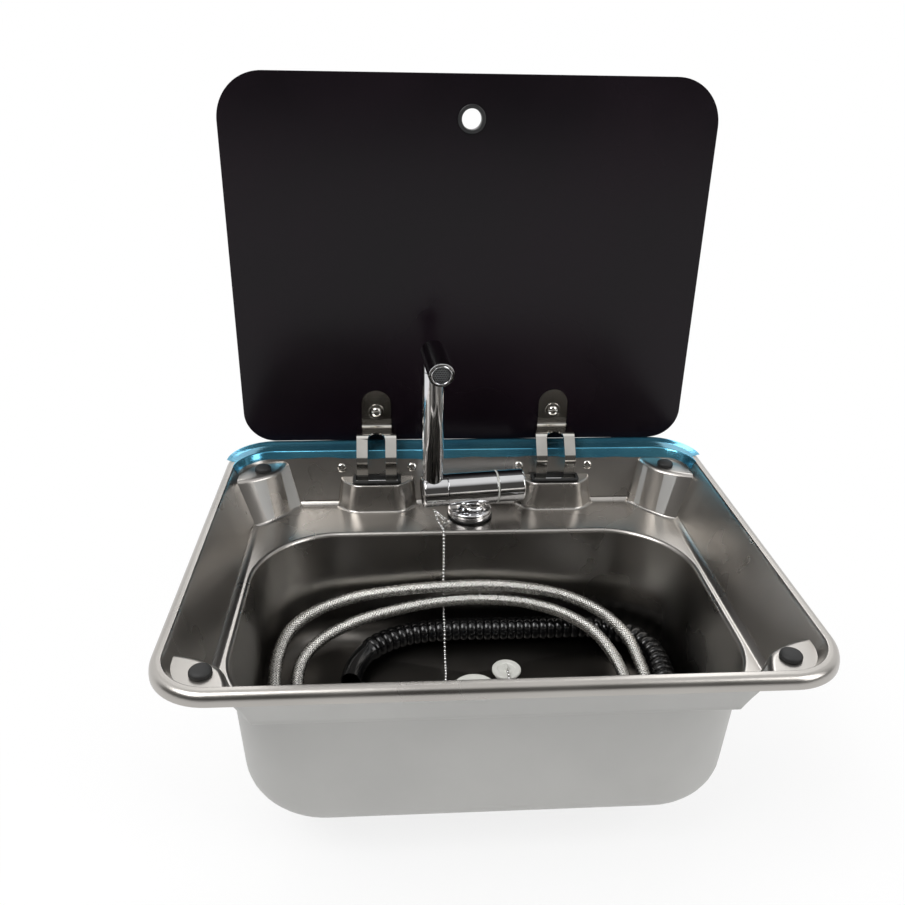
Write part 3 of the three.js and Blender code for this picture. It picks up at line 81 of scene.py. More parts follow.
def make_camera():
    data = bpy.data.cameras.new("camera")
    data.sensor_width = 36
    data.lens = CAMERA_LENS
    data.clip_start = 0.01
    camera = add_object("camera", data)
    turn = rotation(CAMERA_YAW, "Z") @ rotation(90 - CAMERA_PITCH, "X") @ rotation(CAMERA_ROLL, "Z")
    camera.matrix_world = Matrix.Translation(Vector(CAMERA_PLACE) * MM) @ turn
    bpy.context.scene.camera = camera


make_camera()

# ---------- sizes ----------
# An outline is given by its sides. A draft is how far each side moves in from the top to the tray.
RIM = {"x0": -240, "x1": 240, "y0": -195, "y1": 195}
RIM_CORNER = 46
RIM_DROP = 9
RECESS = {"x0": -230.5, "x1": 230.5, "y0": -185, "y1": 172.5}
RECESS_CORNER = 36
RECESS_DEPTH = 54
RECESS_DRAFT = {"x0": 20.5, "x1": -20.5, "y0": 23, "y1": -16.5}
RECESS_FILLET = 4
RECESS_EDGE = 2.4
TRAY = {side: RECESS[side] + RECESS_DRAFT[side] for side in RECESS}
BOWL = {"x0": -201, "x1": 201, "y0": TRAY["y0"] + 5, "y1": TRAY["y1"] - 59.4}
BOWL_CORNER = 75
BOWL_DEPTH = 117
BOWL_DRAFT = 4.5
BOWL_LIP = 4
BOWL_FILLET = 27
BOWL_DISH = 4
BOWL_FLOOR = -RECESS_DEPTH - BOWL_DEPTH
WASTE = Vector((0, 5, BOWL_FLOOR - BOWL_DISH))
WASTE_SEAT = 27
WASTE_HOLE = 14.6
WASTE_RADIUS = 14
PAD_DROP = 10
# Plan of a pad's curved front, at its top and at the tray, from the recess's corner.
PAD_TOP = [(4, 47), (16, 43), (30, 36.5), (39, 29), (44, 18), (48, 4)]
PAD_BASE = [(15, 61), (30, 54), (38, 46), (46, 37), (53, 28), (61, 20)]
PAD_FILLET = 3
BUMPER_INSET = {"x": 26, "front": 25, "rear": 22.5}
BUMPER_RADIUS = 8
BUMPER_HEIGHT = 4.7
HINGE_X = 91.5
BOSS_DROP = 26
BOSS_FRONT = 29.5
WALL_TILT = math.atan2(-RECESS_DRAFT["y1"], RECESS_DEPTH)
PIVOT = Vector((0, RECESS["y1"] + 12.5, -12))
GROMMET = {"width": 49, "depth": 17, "wall": 3, "proud": 3, "below": 1.2, "groove": 1.4}
RIVET_OFFSET = 36
RIVET_DROP = 17

# The lid stands upright at rest, so these heights are Z.
LID_FRONT = PIVOT.y + 7
LID_THICKNESS = 5
LID_HALF = 226.5
LID_LOW = 3.25
LID_HIGH = 355.25
LID_FREE_CORNER = 42
LID_HINGE_CORNER = 31
RING_HEIGHT = 317.75
RING_BORE = 10.5
SCREW_HEIGHT = 35.8
SCREW_BORE = 3.5
STRAP_SHEET = 1.6
STRAP_TAB = 15
STRAP_HALF = 20
STRAP_SLOT = 9
STRAP_TOP = 58.6
STRAP_SHOULDER = 21
STRAP_FRONT = RECESS["y1"] - BOSS_FRONT + 8.8
STRAP_ARCH = 173
STRAP_BEND = LID_FRONT - 1.8
STRAP_HOLE = 2.8
HUB_RADIUS = 5
FAR = 300

# Heights of the tap's parts are in its own frame, whose origin is on the barrel's axis.
TAP_PLACE = (2, 131, -23.5)
TAP_YAW = 7
TAP_RADIUS = 16.2
TAP_TRAY = -30.5
TAP_HOLE = 13.6
EYE_PLATE = 0.8
SEAL_LOW = TAP_TRAY + 2 * GAP + EYE_PLATE
SEAL_HEIGHT = 1.5
FOOT_LOW = SEAL_LOW + SEAL_HEIGHT + GAP
FOOT_HEIGHT = 7
SHANK_RADIUS = 13
COLUMN_X = -38
COLUMN_RADIUS = 10.3
HEAD_HEIGHT = 142.5
HEAD_RADIUS = 11.8
HEAD_FRONT = 43
HEAD_SLOPE = 8
SLEEVE_LOW = HEAD_HEIGHT - HEAD_RADIUS - 4.5

CHAIN_DIAMETER = 0.003
BRAIDED_DIAMETER = 0.012
DRAIN_DIAMETER = 0.023
DRAIN_VALLEY = 9.8
DRAIN_BORE = 8.8
DRAIN_PITCH = 8
CHAIN_ROUTE = [
    (-0.034, 0.1074, -0.0375), (-0.0326, 0.106, -0.043), (-0.03, 0.1044, -0.049),
    (-0.0278, 0.1018, -0.0512), (-0.0266, 0.0974, -0.0518), (-0.0262, 0.0942, -0.055),
    (-0.026, 0.0936, -0.061), (-0.026, 0.0934, -0.07), (-0.026, 0.0932, -0.084), (-0.026, 0.0926, -0.102),
    (-0.026, 0.0918, -0.114), (-0.026, 0.088, -0.126), (-0.026, 0.0805, -0.1385), (-0.026, 0.07, -0.1416),
    (-0.026, 0.061, -0.15), (-0.026, 0.054, -0.162), (-0.026, 0.044, -0.1696), (-0.0262, 0.03, -0.171),
    (-0.027, 0.012, -0.1726), (-0.026, -0.006, -0.173), (-0.018, -0.021, -0.173), (-0.002, -0.027, -0.173),
    (0.016, -0.025, -0.173), (0.028, -0.014, -0.1724), (0.032, -0.002, -0.169), (0.0324, 0.008, -0.163),
    (0.032, 0.016, -0.1614),
]
SUPPLY_ROUTES = [
    [
        (-0.146, -0.102, -0.1594), (-0.156, -0.088, -0.1598), (-0.168, -0.068, -0.1615),
        (-0.179, -0.04, -0.16), (-0.184, -0.008, -0.15), (-0.184, 0.024, -0.141), (-0.174, 0.052, -0.132),
        (-0.15, 0.07, -0.124), (-0.115, 0.08, -0.117), (-0.07, 0.0835, -0.112), (-0.026, 0.0842, -0.109),
        (0.015, 0.0846, -0.1086), (0.055, 0.0835, -0.112), (0.095, 0.0785, -0.119), (0.13, 0.062, -0.129),
        (0.15, 0.039, -0.14), (0.158, 0.012, -0.152), (0.16, -0.015, -0.16), (0.157, -0.045, -0.1635),
        (0.15, -0.072, -0.1606), (0.14, -0.092, -0.1594),
    ],
    [
        (-0.14, -0.064, -0.162), (-0.149, -0.05, -0.162), (-0.158, -0.03, -0.1626), (-0.165, 0, -0.158),
        (-0.162, 0.026, -0.15), (-0.146, 0.046, -0.142), (-0.115, 0.061, -0.133), (-0.07, 0.072, -0.126),
        (-0.026, 0.0775, -0.1216), (0.015, 0.0782, -0.1208), (0.055, 0.0755, -0.124), (0.092, 0.0655, -0.131),
        (0.119, 0.048, -0.14), (0.135, 0.022, -0.151), (0.141, -0.008, -0.16), (0.139, -0.03, -0.1624),
        (0.132, -0.05, -0.1606),
    ],
]
DRAIN_ROUTE = [
    (-0.116, 0.006, -0.159), (-0.112, 0.028, -0.159), (-0.096, 0.054, -0.158), (-0.064, 0.071, -0.1565),
    (-0.026, 0.0751, -0.1548), (0.03, 0.0751, -0.1548), (0.08, 0.0751, -0.1548), (0.124, 0.0742, -0.1548),
    (0.148, 0.068, -0.1554), (0.166, 0.054, -0.1556), (0.1765, 0.032, -0.156), (0.1775, 0.005, -0.1564),
    (0.176, -0.03, -0.1574), (0.1705, -0.064, -0.1586), (0.164, -0.092, -0.159),
]

# ---------- materials ----------
FINE = (1, 1, 1)
ALONG_X = (0.05, 1, 1)
WHITE = (1, 1, 1, 1)

# Each row: name, two colours, two roughnesses, metallic, scale of the drift between them,
# scale and stretch of the grain, height of the grain in metres.
FINISHES = (
    ("pickled_steel", (0.45, 0.447, 0.435), (0.53, 0.527, 0.512), 0.5, 0.62, 0.55, 9, (1100, FINE), 1e-5),
    ("polished_steel", (0.66, 0.64, 0.6), (0.74, 0.72, 0.68), 0.07, 0.12, 1.0, 60, (1500, ALONG_X), 6e-6),
    ("chrome", (0.66, 0.66, 0.67), (0.72, 0.72, 0.73), 0.035, 0.07, 1.0, 40, (400, FINE), 1e-6),
    ("zinc", (0.42, 0.43, 0.45), (0.52, 0.53, 0.54), 0.35, 0.5, 1.0, 120, (1500, FINE), 1e-5),
    ("brass", (0.5, 0.37, 0.16), (0.58, 0.45, 0.22), 0.26, 0.4, 1.0, 90, (1500, FINE), 1e-5),
    ("black_glass", (0.003, 0.0022, 0.0033), (0.008, 0.0042, 0.0072), 0.17, 0.26, 0.0, 5),
    ("rubber", (0.008, 0.008, 0.008), (0.016, 0.016, 0.016), 0.55, 0.7, 0.0, 90, (2500, FINE), 2e-5),
    ("black_plastic", (0.009, 0.009, 0.01), (0.015, 0.015, 0.016), 0.35, 0.48, 0.0, 90, (3000, FINE), 1e-5),
    ("white_plastic", (0.62, 0.62, 0.58), (0.7, 0.7, 0.66), 0.38, 0.5, 0.0, 50, (1600, FINE), 8e-6),
    ("black_hose", (0.002, 0.002, 0.0023), (0.004, 0.004, 0.0045), 0.1, 0.18, 0.0, 60, (1200, FINE), 4e-6),
    ("chain_steel", (0.62, 0.62, 0.62), (0.72, 0.72, 0.71), 0.12, 0.22, 1.0, 300, (2500, FINE), 5e-6),
)
SPECULAR_LEVELS = {"black_glass": 0.2, "black_hose": 0.45}


def fill(tree, node, inputs):
    """Sets a node's inputs, each from a value or from another node's output."""
    for name, value in inputs.items():
        if isinstance(value, bpy.types.NodeSocket):
            tree.links.new(value, node.inputs[name])
        else:
            node.inputs[name].default_value = value
    return node


def add(tree, kind, inputs=None, **settings):
    """A new node with its settings made first, because they decide which inputs it has."""
    node = tree.nodes.new("ShaderNode" + kind)
    for name, value in settings.items():
        setattr(node, name, value)
    return fill(tree, node, inputs or {})


def principled(name, color, roughness, metallic=0.0):
    material = bpy.data.materials.new(name)
    material.use_nodes = True
    tree = material.node_tree
    values = {"Base Color": (*color, 1), "Roughness": roughness, "Metallic": metallic}
    return material, tree, fill(tree, tree.nodes["Principled BSDF"], values)


def noise(tree, scale, detail=3.0, stretch=FINE):
    """Noise over the object's own coordinates, stretched along an axis for a grain."""
    place = add(tree, "TexCoord").outputs["Object"]
    mapped = add(tree, "Mapping", {"Scale": stretch, "Vector": place}).outputs["Vector"]
    return add(tree, "TexNoise", {"Scale": scale, "Detail": detail, "Vector": mapped}).outputs["Fac"]


def coordinate(tree, kind, axis):
    place = add(tree, "TexCoord").outputs[kind]
    return add(tree, "SeparateXYZ", {"Vector": place}).outputs[axis]


def to_range(tree, value, low, high, start=0.2, end=0.8):
    """Low to high, smoothly, as a value goes from start to end."""
    inputs = {"Value": value, "From Min": start, "From Max": end, "To Min": low, "To Max": high}
    return add(tree, "MapRange", inputs, interpolation_type="SMOOTHSTEP").outputs["Result"]


def between(tree, factor, color_a, color_b):
    """Colour a where the factor is 0, colour b where it is 1."""
    inputs = {"Factor": factor, "A": (*color_a, 1), "B": (*color_b, 1)}
    return add(tree, "Mix", inputs, data_type="RGBA").outputs["Result"]


def maths(tree, operation, a, b):
    return add(tree, "Math", {0: a, 1: b}, operation=operation).outputs["Value"]


def mixed(tree, factor, shader_a, shader_b):
    inputs = {"Fac": factor, 1: shader_a.outputs[0], 2: shader_b.outputs[0]}
    return add(tree, "MixShader", inputs).outputs["Shader"]


def relief(tree, height, distance):
    return add(tree, "Bump", {"Height": height, "Distance": distance}).outputs["Normal"]


def varied(name, color_a, color_b, rough_a, rough_b, metallic, scale, grain=None, height=0.0):
    """A finish whose colour and roughness drift over the surface, with a fine grain in relief."""
    material, tree, shader = principled(name, color_a, rough_a, metallic)
    drift = noise(tree, scale)
    color = between(tree, to_range(tree, drift, 0, 1), color_a, color_b)
    fill(tree, shader, {"Base Color": color, "Roughness": to_range(tree, drift, rough_a, rough_b)})
    if grain:
        fill(tree, shader, {"Normal": relief(tree, noise(tree, grain[0], 2, grain[1]), height)})
    if name in SPECULAR_LEVELS:
        fill(tree, shader, {"Specular IOR Level": SPECULAR_LEVELS[name]})
    return material


def make_film():
    """Thin blue protective film, wrinkled along the rear edge."""
    film, tree, shader = principled("blue_film", (0.05, 0.4, 0.6), 0.2, 0.8)
    drift = to_range(tree, noise(tree, 45, 4, (0.4, 1, 1)), 0, 1)
    fill(tree, shader, {
        "Base Color": between(tree, drift, (0.06, 0.29, 0.45), (0.13, 0.46, 0.62)),
        "Coat Weight": 0.6,
        "Coat Roughness": 0.12,
        "Normal": relief(tree, noise(tree, 160, 4, (0.25, 1, 1)), 2.5e-4),
    })
    return film


def make_stainless():
    """Satin steel of the inside: it darkens down the bowl, which takes little light."""
    material, tree, shader = principled("stainless", (0.5, 0.48, 0.455), 0.24, 1.0)
    drift = noise(tree, 11)
    steel = between(tree, to_range(tree, drift, 0, 1), (0.6, 0.58, 0.555), (0.7, 0.68, 0.65))
    height = coordinate(tree, "Object", "Z")
    light = to_range(tree, height, 0, 1, BOWL_FLOOR * MM, -(RECESS_DEPTH + 12) * MM)
    shade = between(tree, light, (0.15, 0.145, 0.14), (0.68, 0.67, 0.66))
    deep = add(tree, "Mix", {"Factor": 1, "A": steel, "B": shade}, data_type="RGBA", blend_type="MULTIPLY")
    fill(tree, shader, {
        "Base Color": deep.outputs["Result"],
        "Roughness": to_range(tree, drift, 0.25, 0.33),
        "Normal": relief(tree, noise(tree, 900, 2, ALONG_X), 1.2e-5),
    })
    return material


def make_braid():
    """Flat bundles of fine wire, from each strip's own coordinate across it: painted shade darkens each
    strip's edges and the core seen in the gaps, and each strip's middle is painted lighter.
    """
    material, tree, shader = principled("braid", (0.6, 0.59, 0.56), 0.24, 1.0)
    # Painted shade across each strip: dark at its edges and on the core, light in its middle.
    crown = maths(tree, "PINGPONG", coordinate(tree, "UV", "X"), 0.5)
    middle = to_range(tree, crown, 0, 1, 0, 0.28)
    waves = add(tree, "TexWave", {"Scale": 1.6, "Vector": add(tree, "TexCoord").outputs["UV"]})
    fill(tree, shader, {
        "Base Color": between(tree, middle, (0.1, 0.098, 0.092), (0.68, 0.67, 0.64)),
        "Roughness": to_range(tree, noise(tree, 260), 0.2, 0.32),
        "Normal": relief(tree, waves.outputs["Fac"], 4e-5),
    })
    return material


LOOKS = {"stainless": make_stainless(), "braid": make_braid(), "blue_film": make_film()}
for finish in FINISHES:
    LOOKS[finish[0]] = varied(*finish)
for entry in frame["record"]["subparts"]:
    slots = frame["nodes"][entry["node"]].data.materials
    slots.clear()
    slots.append(LOOKS[entry["material_slot"]])

# ---------- mesh helpers ----------
WELD = 1e-4
UNMOVED = Matrix()


@contextmanager
def edited(mesh):
    """The mesh as a bmesh, which goes back into the mesh when the block ends."""
    work = bmesh.new()
    work.from_mesh(mesh)
    yield work
    work.to_mesh(mesh)
    work.free()


def new_object(points, faces):
    mesh = bpy.data.meshes.new("work")
    mesh.from_pydata([tuple(p) for p in points], [], faces)
    with edited(mesh) as work:
        bmesh.ops.remove_doubles(work, verts=work.verts, dist=WELD)
        bmesh.ops.recalc_face_normals(work, faces=work.faces)
    return add_object("work", mesh)


def applied(obj):
    """Bakes the modifiers of obj into its mesh."""
    graph = bpy.context.evaluated_depsgraph_get()
    graph.update()
    mesh = bpy.data.meshes.new_from_object(obj.evaluated_get(graph))
    obj.modifiers.clear()
    obj.data = mesh
    return obj


def modified(obj, kind, **settings):
    modifier = obj.modifiers.new("work", kind)
    for name, value in settings.items():
        setattr(modifier, name, value)
    return applied(obj)


def boolean(obj, cutters, operation="DIFFERENCE"):
    for cutter in cutters:
        modified(obj, "BOOLEAN", operation=operation, solver="EXACT", object=cutter)
        bpy.data.objects.remove(cutter)
    return obj


def rounded(obj, width=0.25, segments=2, angle=35):
    limit = math.radians(angle)
    return modified(obj, "BEVEL", width=width, segments=segments, limit_method="ANGLE", angle_limit=limit)


def moved(obj, place):
    obj.data.transform(place)
    return obj


def join(objects):
    """One object from the meshes of several."""
    mesh = bpy.data.meshes.new("work")
    with edited(mesh) as whole:
        for obj in objects:
            whole.from_mesh(obj.data)
            bpy.data.objects.remove(obj)
    return add_object("work", mesh)


def piece(obj, name, look, node=None, body="sink", angle=32):
    """Finishes a piece: into metres, smooth, with its material, its body and the CAD node it stands for."""
    obj.name = name
    moved(obj, Matrix.Scale(MM, 4))
    for polygon in obj.data.polygons:
        polygon.use_smooth = True
    obj.data.set_sharp_from_angle(angle=math.radians(angle))
    modified(obj, "WEIGHTED_NORMAL", keep_sharp=True)
    obj.data.materials.clear()
    obj.data.materials.append(LOOKS[look])
    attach(obj, body)
    if node:
        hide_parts(node)
    return obj


def loft(rings, closed=False, capped=True):
    """Skins rings of equal count, lowest first. Both ends are capped unless the path closes."""
    count = len(rings[0])
    faces = []
    for level in range(len(rings) if closed else len(rings) - 1):
        here = level * count
        above = (level + 1) % len(rings) * count
        for i in range(count):
            j = (i + 1) % count
            faces.append((here + i, here + j, above + j, above + i))
    if capped and not closed:
        faces.append(tuple(reversed(range(count))))
        faces.append(tuple(range((len(rings) - 1) * count, len(rings) * count)))
    return new_object([p for ring in rings for p in ring], faces)


def drop_flat_faces(obj):
    """Removes the faces of no area that a profile's ends on the axis leave."""
    with edited(obj.data) as clean:
        bmesh.ops.dissolve_degenerate(clean, dist=WELD, edges=clean.edges)
        bmesh.ops.recalc_face_normals(clean, faces=clean.faces)
    return obj


def circle(radius, sides):
    angles = [math.tau * k / sides for k in range(sides)]
    return [(radius * math.cos(a), radius * math.sin(a)) for a in angles]


def turned(profile, place=UNMOVED, segments=64, round_off=0.0):
    """Revolves [radius, height] pairs about Z. The profile runs from axis to axis or closes on itself."""
    closed = profile[0] == profile[-1]
    rings = []
    for radius, height in profile[:-1] if closed else profile:
        rings.append([(x, y, height) for x, y in circle(radius, segments)])
    obj = drop_flat_faces(loft(rings, closed, capped=False))
    if round_off:
        rounded(obj, round_off)
    return moved(obj, place)


def rod(radius, z0, z1, place=UNMOVED, segments=48):
    return turned([(0, z0), (radius, z0), (radius, z1), (0, z1)], place, segments)


def tube(outer, inner, z0, z1, place=UNMOVED, round_off=0.2, segments=64):
    profile = [(inner, z0), (outer, z0), (outer, z1), (inner, z1), (inner, z0)]
    return turned(profile, place, segments, round_off)


def extruded(outline, z0, z1, place=UNMOVED):
    """A straight block from an outline, between two heights."""
    return moved(loft([[(x, y, z) for x, y in outline] for z in (z0, z1)]), place)


def hexagon(flats, z0, z1):
    return extruded(circle(flats / math.sqrt(3), 6), z0, z1)


def arc(cx, cy, radius, start, end, steps):
    angles = [math.radians(start + (end - start) * i / steps) for i in range(steps + 1)]
    return [(cx + radius * math.cos(a), cy + radius * math.sin(a)) for a in angles]


def turns(*degrees):
    """Sine and cosine of each angle, for an edge or fillet made of rings."""
    return [(math.sin(math.radians(d)), math.cos(math.radians(d))) for d in degrees]


def rounded_outline(area, corner, grow=0.0, steps=16):
    """Rectangle with rounded corners, moved outwards by grow; each corner has steps + 1 points."""
    radius = max(corner + grow, 0.5)
    right, top = area["x1"] + grow - radius, area["y1"] + grow - radius
    left, low = area["x0"] - grow + radius, area["y0"] - grow + radius
    centres = [(right, top), (left, top), (left, low), (right, low)]
    outline = []
    for quarter, (cx, cy) in enumerate(centres):
        outline += arc(cx, cy, radius, 90 * quarter, 90 * quarter + 90, steps)
    return outline


def ring_at(area, corner, z, grow=0.0):
    return [(x, y, z) for x, y in rounded_outline(area, corner, grow)]


def at_height(ring, z):
    return [(x, y, z) for x, y, _ in ring]


def fours(points):
    """Each four neighbours of a path whose ends go on in a straight line."""
    padded = [2 * points[0] - points[1], *points, 2 * points[-1] - points[-2]]
    return zip(padded, padded[1:], padded[2:], padded[3:])


def spline(points, steps):
    """Uniform Catmull-Rom curve through points of any dimension."""
    sized = [Vector(p) for p in points]
    path = []
    for a, b, c, d in fours(sized):
        for t in (k / steps for k in range(steps)):
            path.append(0.5 * ((2 * b) + (c - a) * t + (2 * a - 5 * b + 4 * c - d) * t ** 2
                               + (3 * b - a - 3 * c + d) * t ** 3))
    return path + [sized[-1]]


def rounded_path(corners, steps=8):
    """Path with its corners rounded: the ends are (u, v) and the corners (u, v, radius)."""
    path = [Vector(corners[0])]
    for before, corner, after in zip(corners, corners[1:], corners[2:]):
        here = Vector(corner[:2])
        back = (Vector(before[:2]) - here).normalized()
        onward = (Vector(after[:2]) - here).normalized()
        half = back.angle(onward) / 2
        start = here + back * (corner[2] / math.tan(half))
        centre = here + (back + onward).normalized() * (corner[2] / math.sin(half))
        end = here + onward * (corner[2] / math.tan(half))
        sweep = (start - centre).angle_signed(end - centre)
        for i in range(steps + 1):
            path.append(centre + Matrix.Rotation(-sweep * i / steps, 2) @ (start - centre))
    return path + [Vector(corners[-1])]


def tangents(path):
    """Direction at each point of a path, from the point before it to the point after it."""
    last = len(path) - 1
    return [(path[min(i + 1, last)] - path[max(i - 1, 0)]).normalized() for i in range(len(path))]


# ---------- cords ----------
CURVE_STEPS = 40
BRAID_CARRIERS = 12
BRAID_LEAD = 34
BRAID_STEP = 0.47
BRAID_HALF_WIDTH = 0.155
BRAID_WEAVE = 0.16
BRAID_CROWN = 0.13
HOSE_RADIUS = BRAIDED_DIAMETER / MM / 2
HOSE_BORE = 3.5
HOSE_STRIDE = 12
DRAIN_CUFF = 46
RIB_RINGS = 12
RIB_ROUNDNESS = 0.55
BEAD_PITCH = 3.9
CHAIN_LINK = 0.42
CHAIN_EYE = Vector((-24.5, 113, -50))
CHAIN_RING_UP = Vector((-8.4, -5, 12.6)).normalized()
CHAIN_RING_SIDE = Vector((-5, 8.4, 0)).normalized()
CHAIN_RING = 9
CHAIN_WIRE = 0.6
PLUG_PLACE = (32, 25, WASTE.z + 2 + GAP)


def cord_path(route, spacing):
    """The CAD's centripetal curve through a route in metres, as evenly spaced points in millimetres."""
    sized = [Vector(p) / MM for p in route]
    fine = []
    for a, b, c, d in fours(sized):
        before, here, after = ((q - p).length ** 0.5 for p, q in ((a, b), (b, c), (c, d)))
        leave = ((b - a) / before - (c - a) / (before + here) + (c - b) / here) * here
        arrive = ((c - b) / here - (d - b) / (here + after) + (d - c) / after) * here
        for t in (k / CURVE_STEPS for k in range(CURVE_STEPS)):
            fine.append(b + leave * t + (3 * (c - b) - 2 * leave - arrive) * t ** 2
                        + (2 * (b - c) + leave + arrive) * t ** 3)
    fine.append(sized[-1])
    lengths = [0.0]
    for p, q in zip(fine, fine[1:]):
        lengths.append(lengths[-1] + (q - p).length)
    count = max(round(lengths[-1] / spacing), 2)
    path = []
    below = 0
    for i in range(count + 1):
        goal = lengths[-1] * i / count
        while below < len(fine) - 2 and lengths[below + 1] < goal:
            below += 1
        share = (goal - lengths[below]) / max(lengths[below + 1] - lengths[below], 1e-9)
        path.append(fine[below].lerp(fine[below + 1], min(share, 1)))
    return path, lengths[-1]


def metres(path):
    return [tuple(p * MM for p in point) for point in path]


def frames_along(path):
    """At each point of a path its place and a pair of directions across it, turned as little as can be."""
    directions = tangents(path)
    side = directions[0].orthogonal().normalized()
    frames = []
    for place, tangent in zip(path, directions):
        side = (side - tangent * side.dot(tangent)).normalized()
        frames.append((place, side, tangent.cross(side), tangent))
    return frames


def swept(frames, radii, sides, closed=True):
    """A tube along frames: radii gives each ring's frame and radius. A closed one is hollow."""
    rings = []
    for index, radius in radii:
        place, across, up, _ = frames[index]
        rings.append([place + (across * x + up * y) * radius for x, y in circle(1, sides)])
    return loft(rings, closed)


def braid_strip(frames, carrier, sense, radius):
    """Rows of one flat bundle of wires wound round the hose, over and under those that go the other way."""
    rows = []
    for i, (place, across, up, _) in enumerate(frames):
        laps = i * BRAID_STEP / BRAID_LEAD
        angle = math.tau * (carrier / BRAID_CARRIERS + sense * laps)
        weave = BRAID_WEAVE * sense * math.sin(math.tau * BRAID_CARRIERS * laps)
        row = []
        for share, crown in ((-1, 0.0), (0, BRAID_CROWN), (1, 0.0)):
            a = angle + share * BRAID_HALF_WIDTH
            row.append(place + (across * math.cos(a) + up * math.sin(a)) * (radius + weave + crown))
        rows.append(row)
    return rows


def braided_hose(frames):
    """Core tube under two layers of crossing strips; each strip's own coordinate runs across it."""
    last = len(frames) - 1
    stations = [*range(0, last, HOSE_STRIDE), last]
    core = [(i, HOSE_RADIUS - 0.5) for i in stations] + [(i, HOSE_BORE) for i in reversed(stations)]
    points, faces, across = [], [], []
    for sense in (1, -1):
        for carrier in range(BRAID_CARRIERS):
            for i, row in enumerate(braid_strip(frames, carrier, sense, HOSE_RADIUS - 0.32)):
                base = len(points)
                points += row
                across += [0.0, 0.5, 1.0]
                if i:
                    faces += [(base - 3, base - 2, base + 1, base), (base - 2, base - 1, base + 2, base + 1)]
    mesh = bpy.data.meshes.new("work")
    mesh.from_pydata([tuple(p) for p in points], [], faces)
    strips = mesh.uv_layers.new(name="strips")
    for loop in mesh.loops:
        strips.data[loop.index].uv = (across[loop.vertex_index], 0)
    return join([add_object("work", mesh), swept(frames, core, 20)])


def hose_nut(node, place):
    """Crimped ferrule and swivel nut, pointing along +Z away from the hose's end."""
    r = HOSE_RADIUS
    length = GAP + 14
    ferrule = [(3.2, GAP), (r - 0.2, GAP), (r + 0.3, GAP + 0.6)]
    for z in (GAP + 3.4, GAP + 8.4):
        ferrule += [(r + 0.5, z), (r + 0.1, z + 0.8), (r + 0.5, z + 1.6)]
    ferrule += [(r + 0.5, length - 1.4), (r - 1, length - 0.2), (r - 1, length + 4), (3.2, length + 4),
                (3.2, GAP)]
    nut = hexagon(19, length, length + 13)
    chamfer = turned([(0, length - 1), (9.3, length - 1), (9.7, length), (11, length + 1),
                      (11, length + 11.9), (9.8, length + 13), (0, length + 13)], segments=48)
    boolean(nut, [chamfer], "INTERSECT")
    boolean(nut, [rod(7.3, length + 3, length + 14), rod(r - 0.95, length - 1, length + 4)])
    moved(rounded(nut, 0.2), place)
    return piece(join([turned(ferrule, place, 40, 0.12), nut]), f"crimped_{node}", "chrome", node)


def supply_hose(number, route):
    node = f"supply_hose_{number}"
    path, length = cord_path(route, BRAID_STEP)
    hose = braided_hose(frames_along(path))
    line = metres(path[::HOSE_STRIDE] + [path[-1]])
    for end, before, tip in (("inlet", line[1], line[0]), ("outlet", line[-2], line[-1])):
        place = Vector(tip) / MM
        turn = (place - Vector(before) / MM).to_track_quat("Z", "Y").to_matrix().to_4x4()
        hose_nut(f"{node}_{end}_nut", Matrix.Translation(place) @ turn)
    piece(hose, f"braided_hose_{number}", "braid", node, angle=60)


def drain_hose():
    """Corrugated hose: round ribs with narrow valleys, and a plain cuff at each end."""
    step = DRAIN_PITCH / RIB_RINGS
    path, length = cord_path(DRAIN_ROUTE, step)
    last = len(path) - 1
    cuff = DRAIN_CUFF / step
    rib = DRAIN_DIAMETER / MM / 2 - DRAIN_VALLEY
    rings = []
    for i in range(last + 1):
        swell = 0
        if cuff < i < last - cuff:
            swell = max(math.sin(math.pi * (i % RIB_RINGS) / RIB_RINGS), 0) ** RIB_ROUNDNESS
        if swell or i % 6 == 0 or i == last:
            rings.append((i, DRAIN_VALLEY + rib * swell))
    rings += [(i, DRAIN_BORE) for i in range(last, -1, -RIB_RINGS)] + [(0, DRAIN_BORE)]
    hose = piece(swept(frames_along(path), rings, 40), "ribbed_hose", "black_hose", "drain_hose", angle=60)


def ball(radius, place):
    angles = [math.radians(a) for a in range(0, 181, 20)]
    return turned([(radius * math.sin(a), -radius * math.cos(a)) for a in angles], place, 14)


def bead_chain():
    path, length = cord_path(CHAIN_ROUTE, BEAD_PITCH)
    links = []
    for place, across, up, tangent in frames_along(path):
        turn = Matrix((across, up, tangent)).transposed().to_4x4()
        links.append(ball(CHAIN_DIAMETER / MM / 2, Matrix.Translation(place) @ turn))
    fine, _ = cord_path(CHAIN_ROUTE, BEAD_PITCH / 2)
    wire = [(i, CHAIN_LINK) for i in range(len(fine))]
    links.append(swept(frames_along(fine), wire, 8, closed=False))
    chain = piece(join(links), "bead_chain", "chain_steel", "plug_chain", angle=50)
    ring_piece()
    plug_piece()


def wire_ring(radius, wire, centre, up, side):
    normal = up.cross(side).normalized()
    turn = Matrix((up, normal.cross(up), normal)).transposed().to_4x4()
    profile = [(radius + x, y) for x, y in circle(wire, 12)]
    return turned(profile + profile[:1], Matrix.Translation(centre) @ turn, 56)


def ring_piece():
    centre = CHAIN_EYE + CHAIN_RING_UP * CHAIN_RING
    ring = wire_ring(CHAIN_RING, CHAIN_WIRE, centre, CHAIN_RING_UP, CHAIN_RING_SIDE)
    return piece(ring, "split_ring", "chain_steel", "chain_ring")


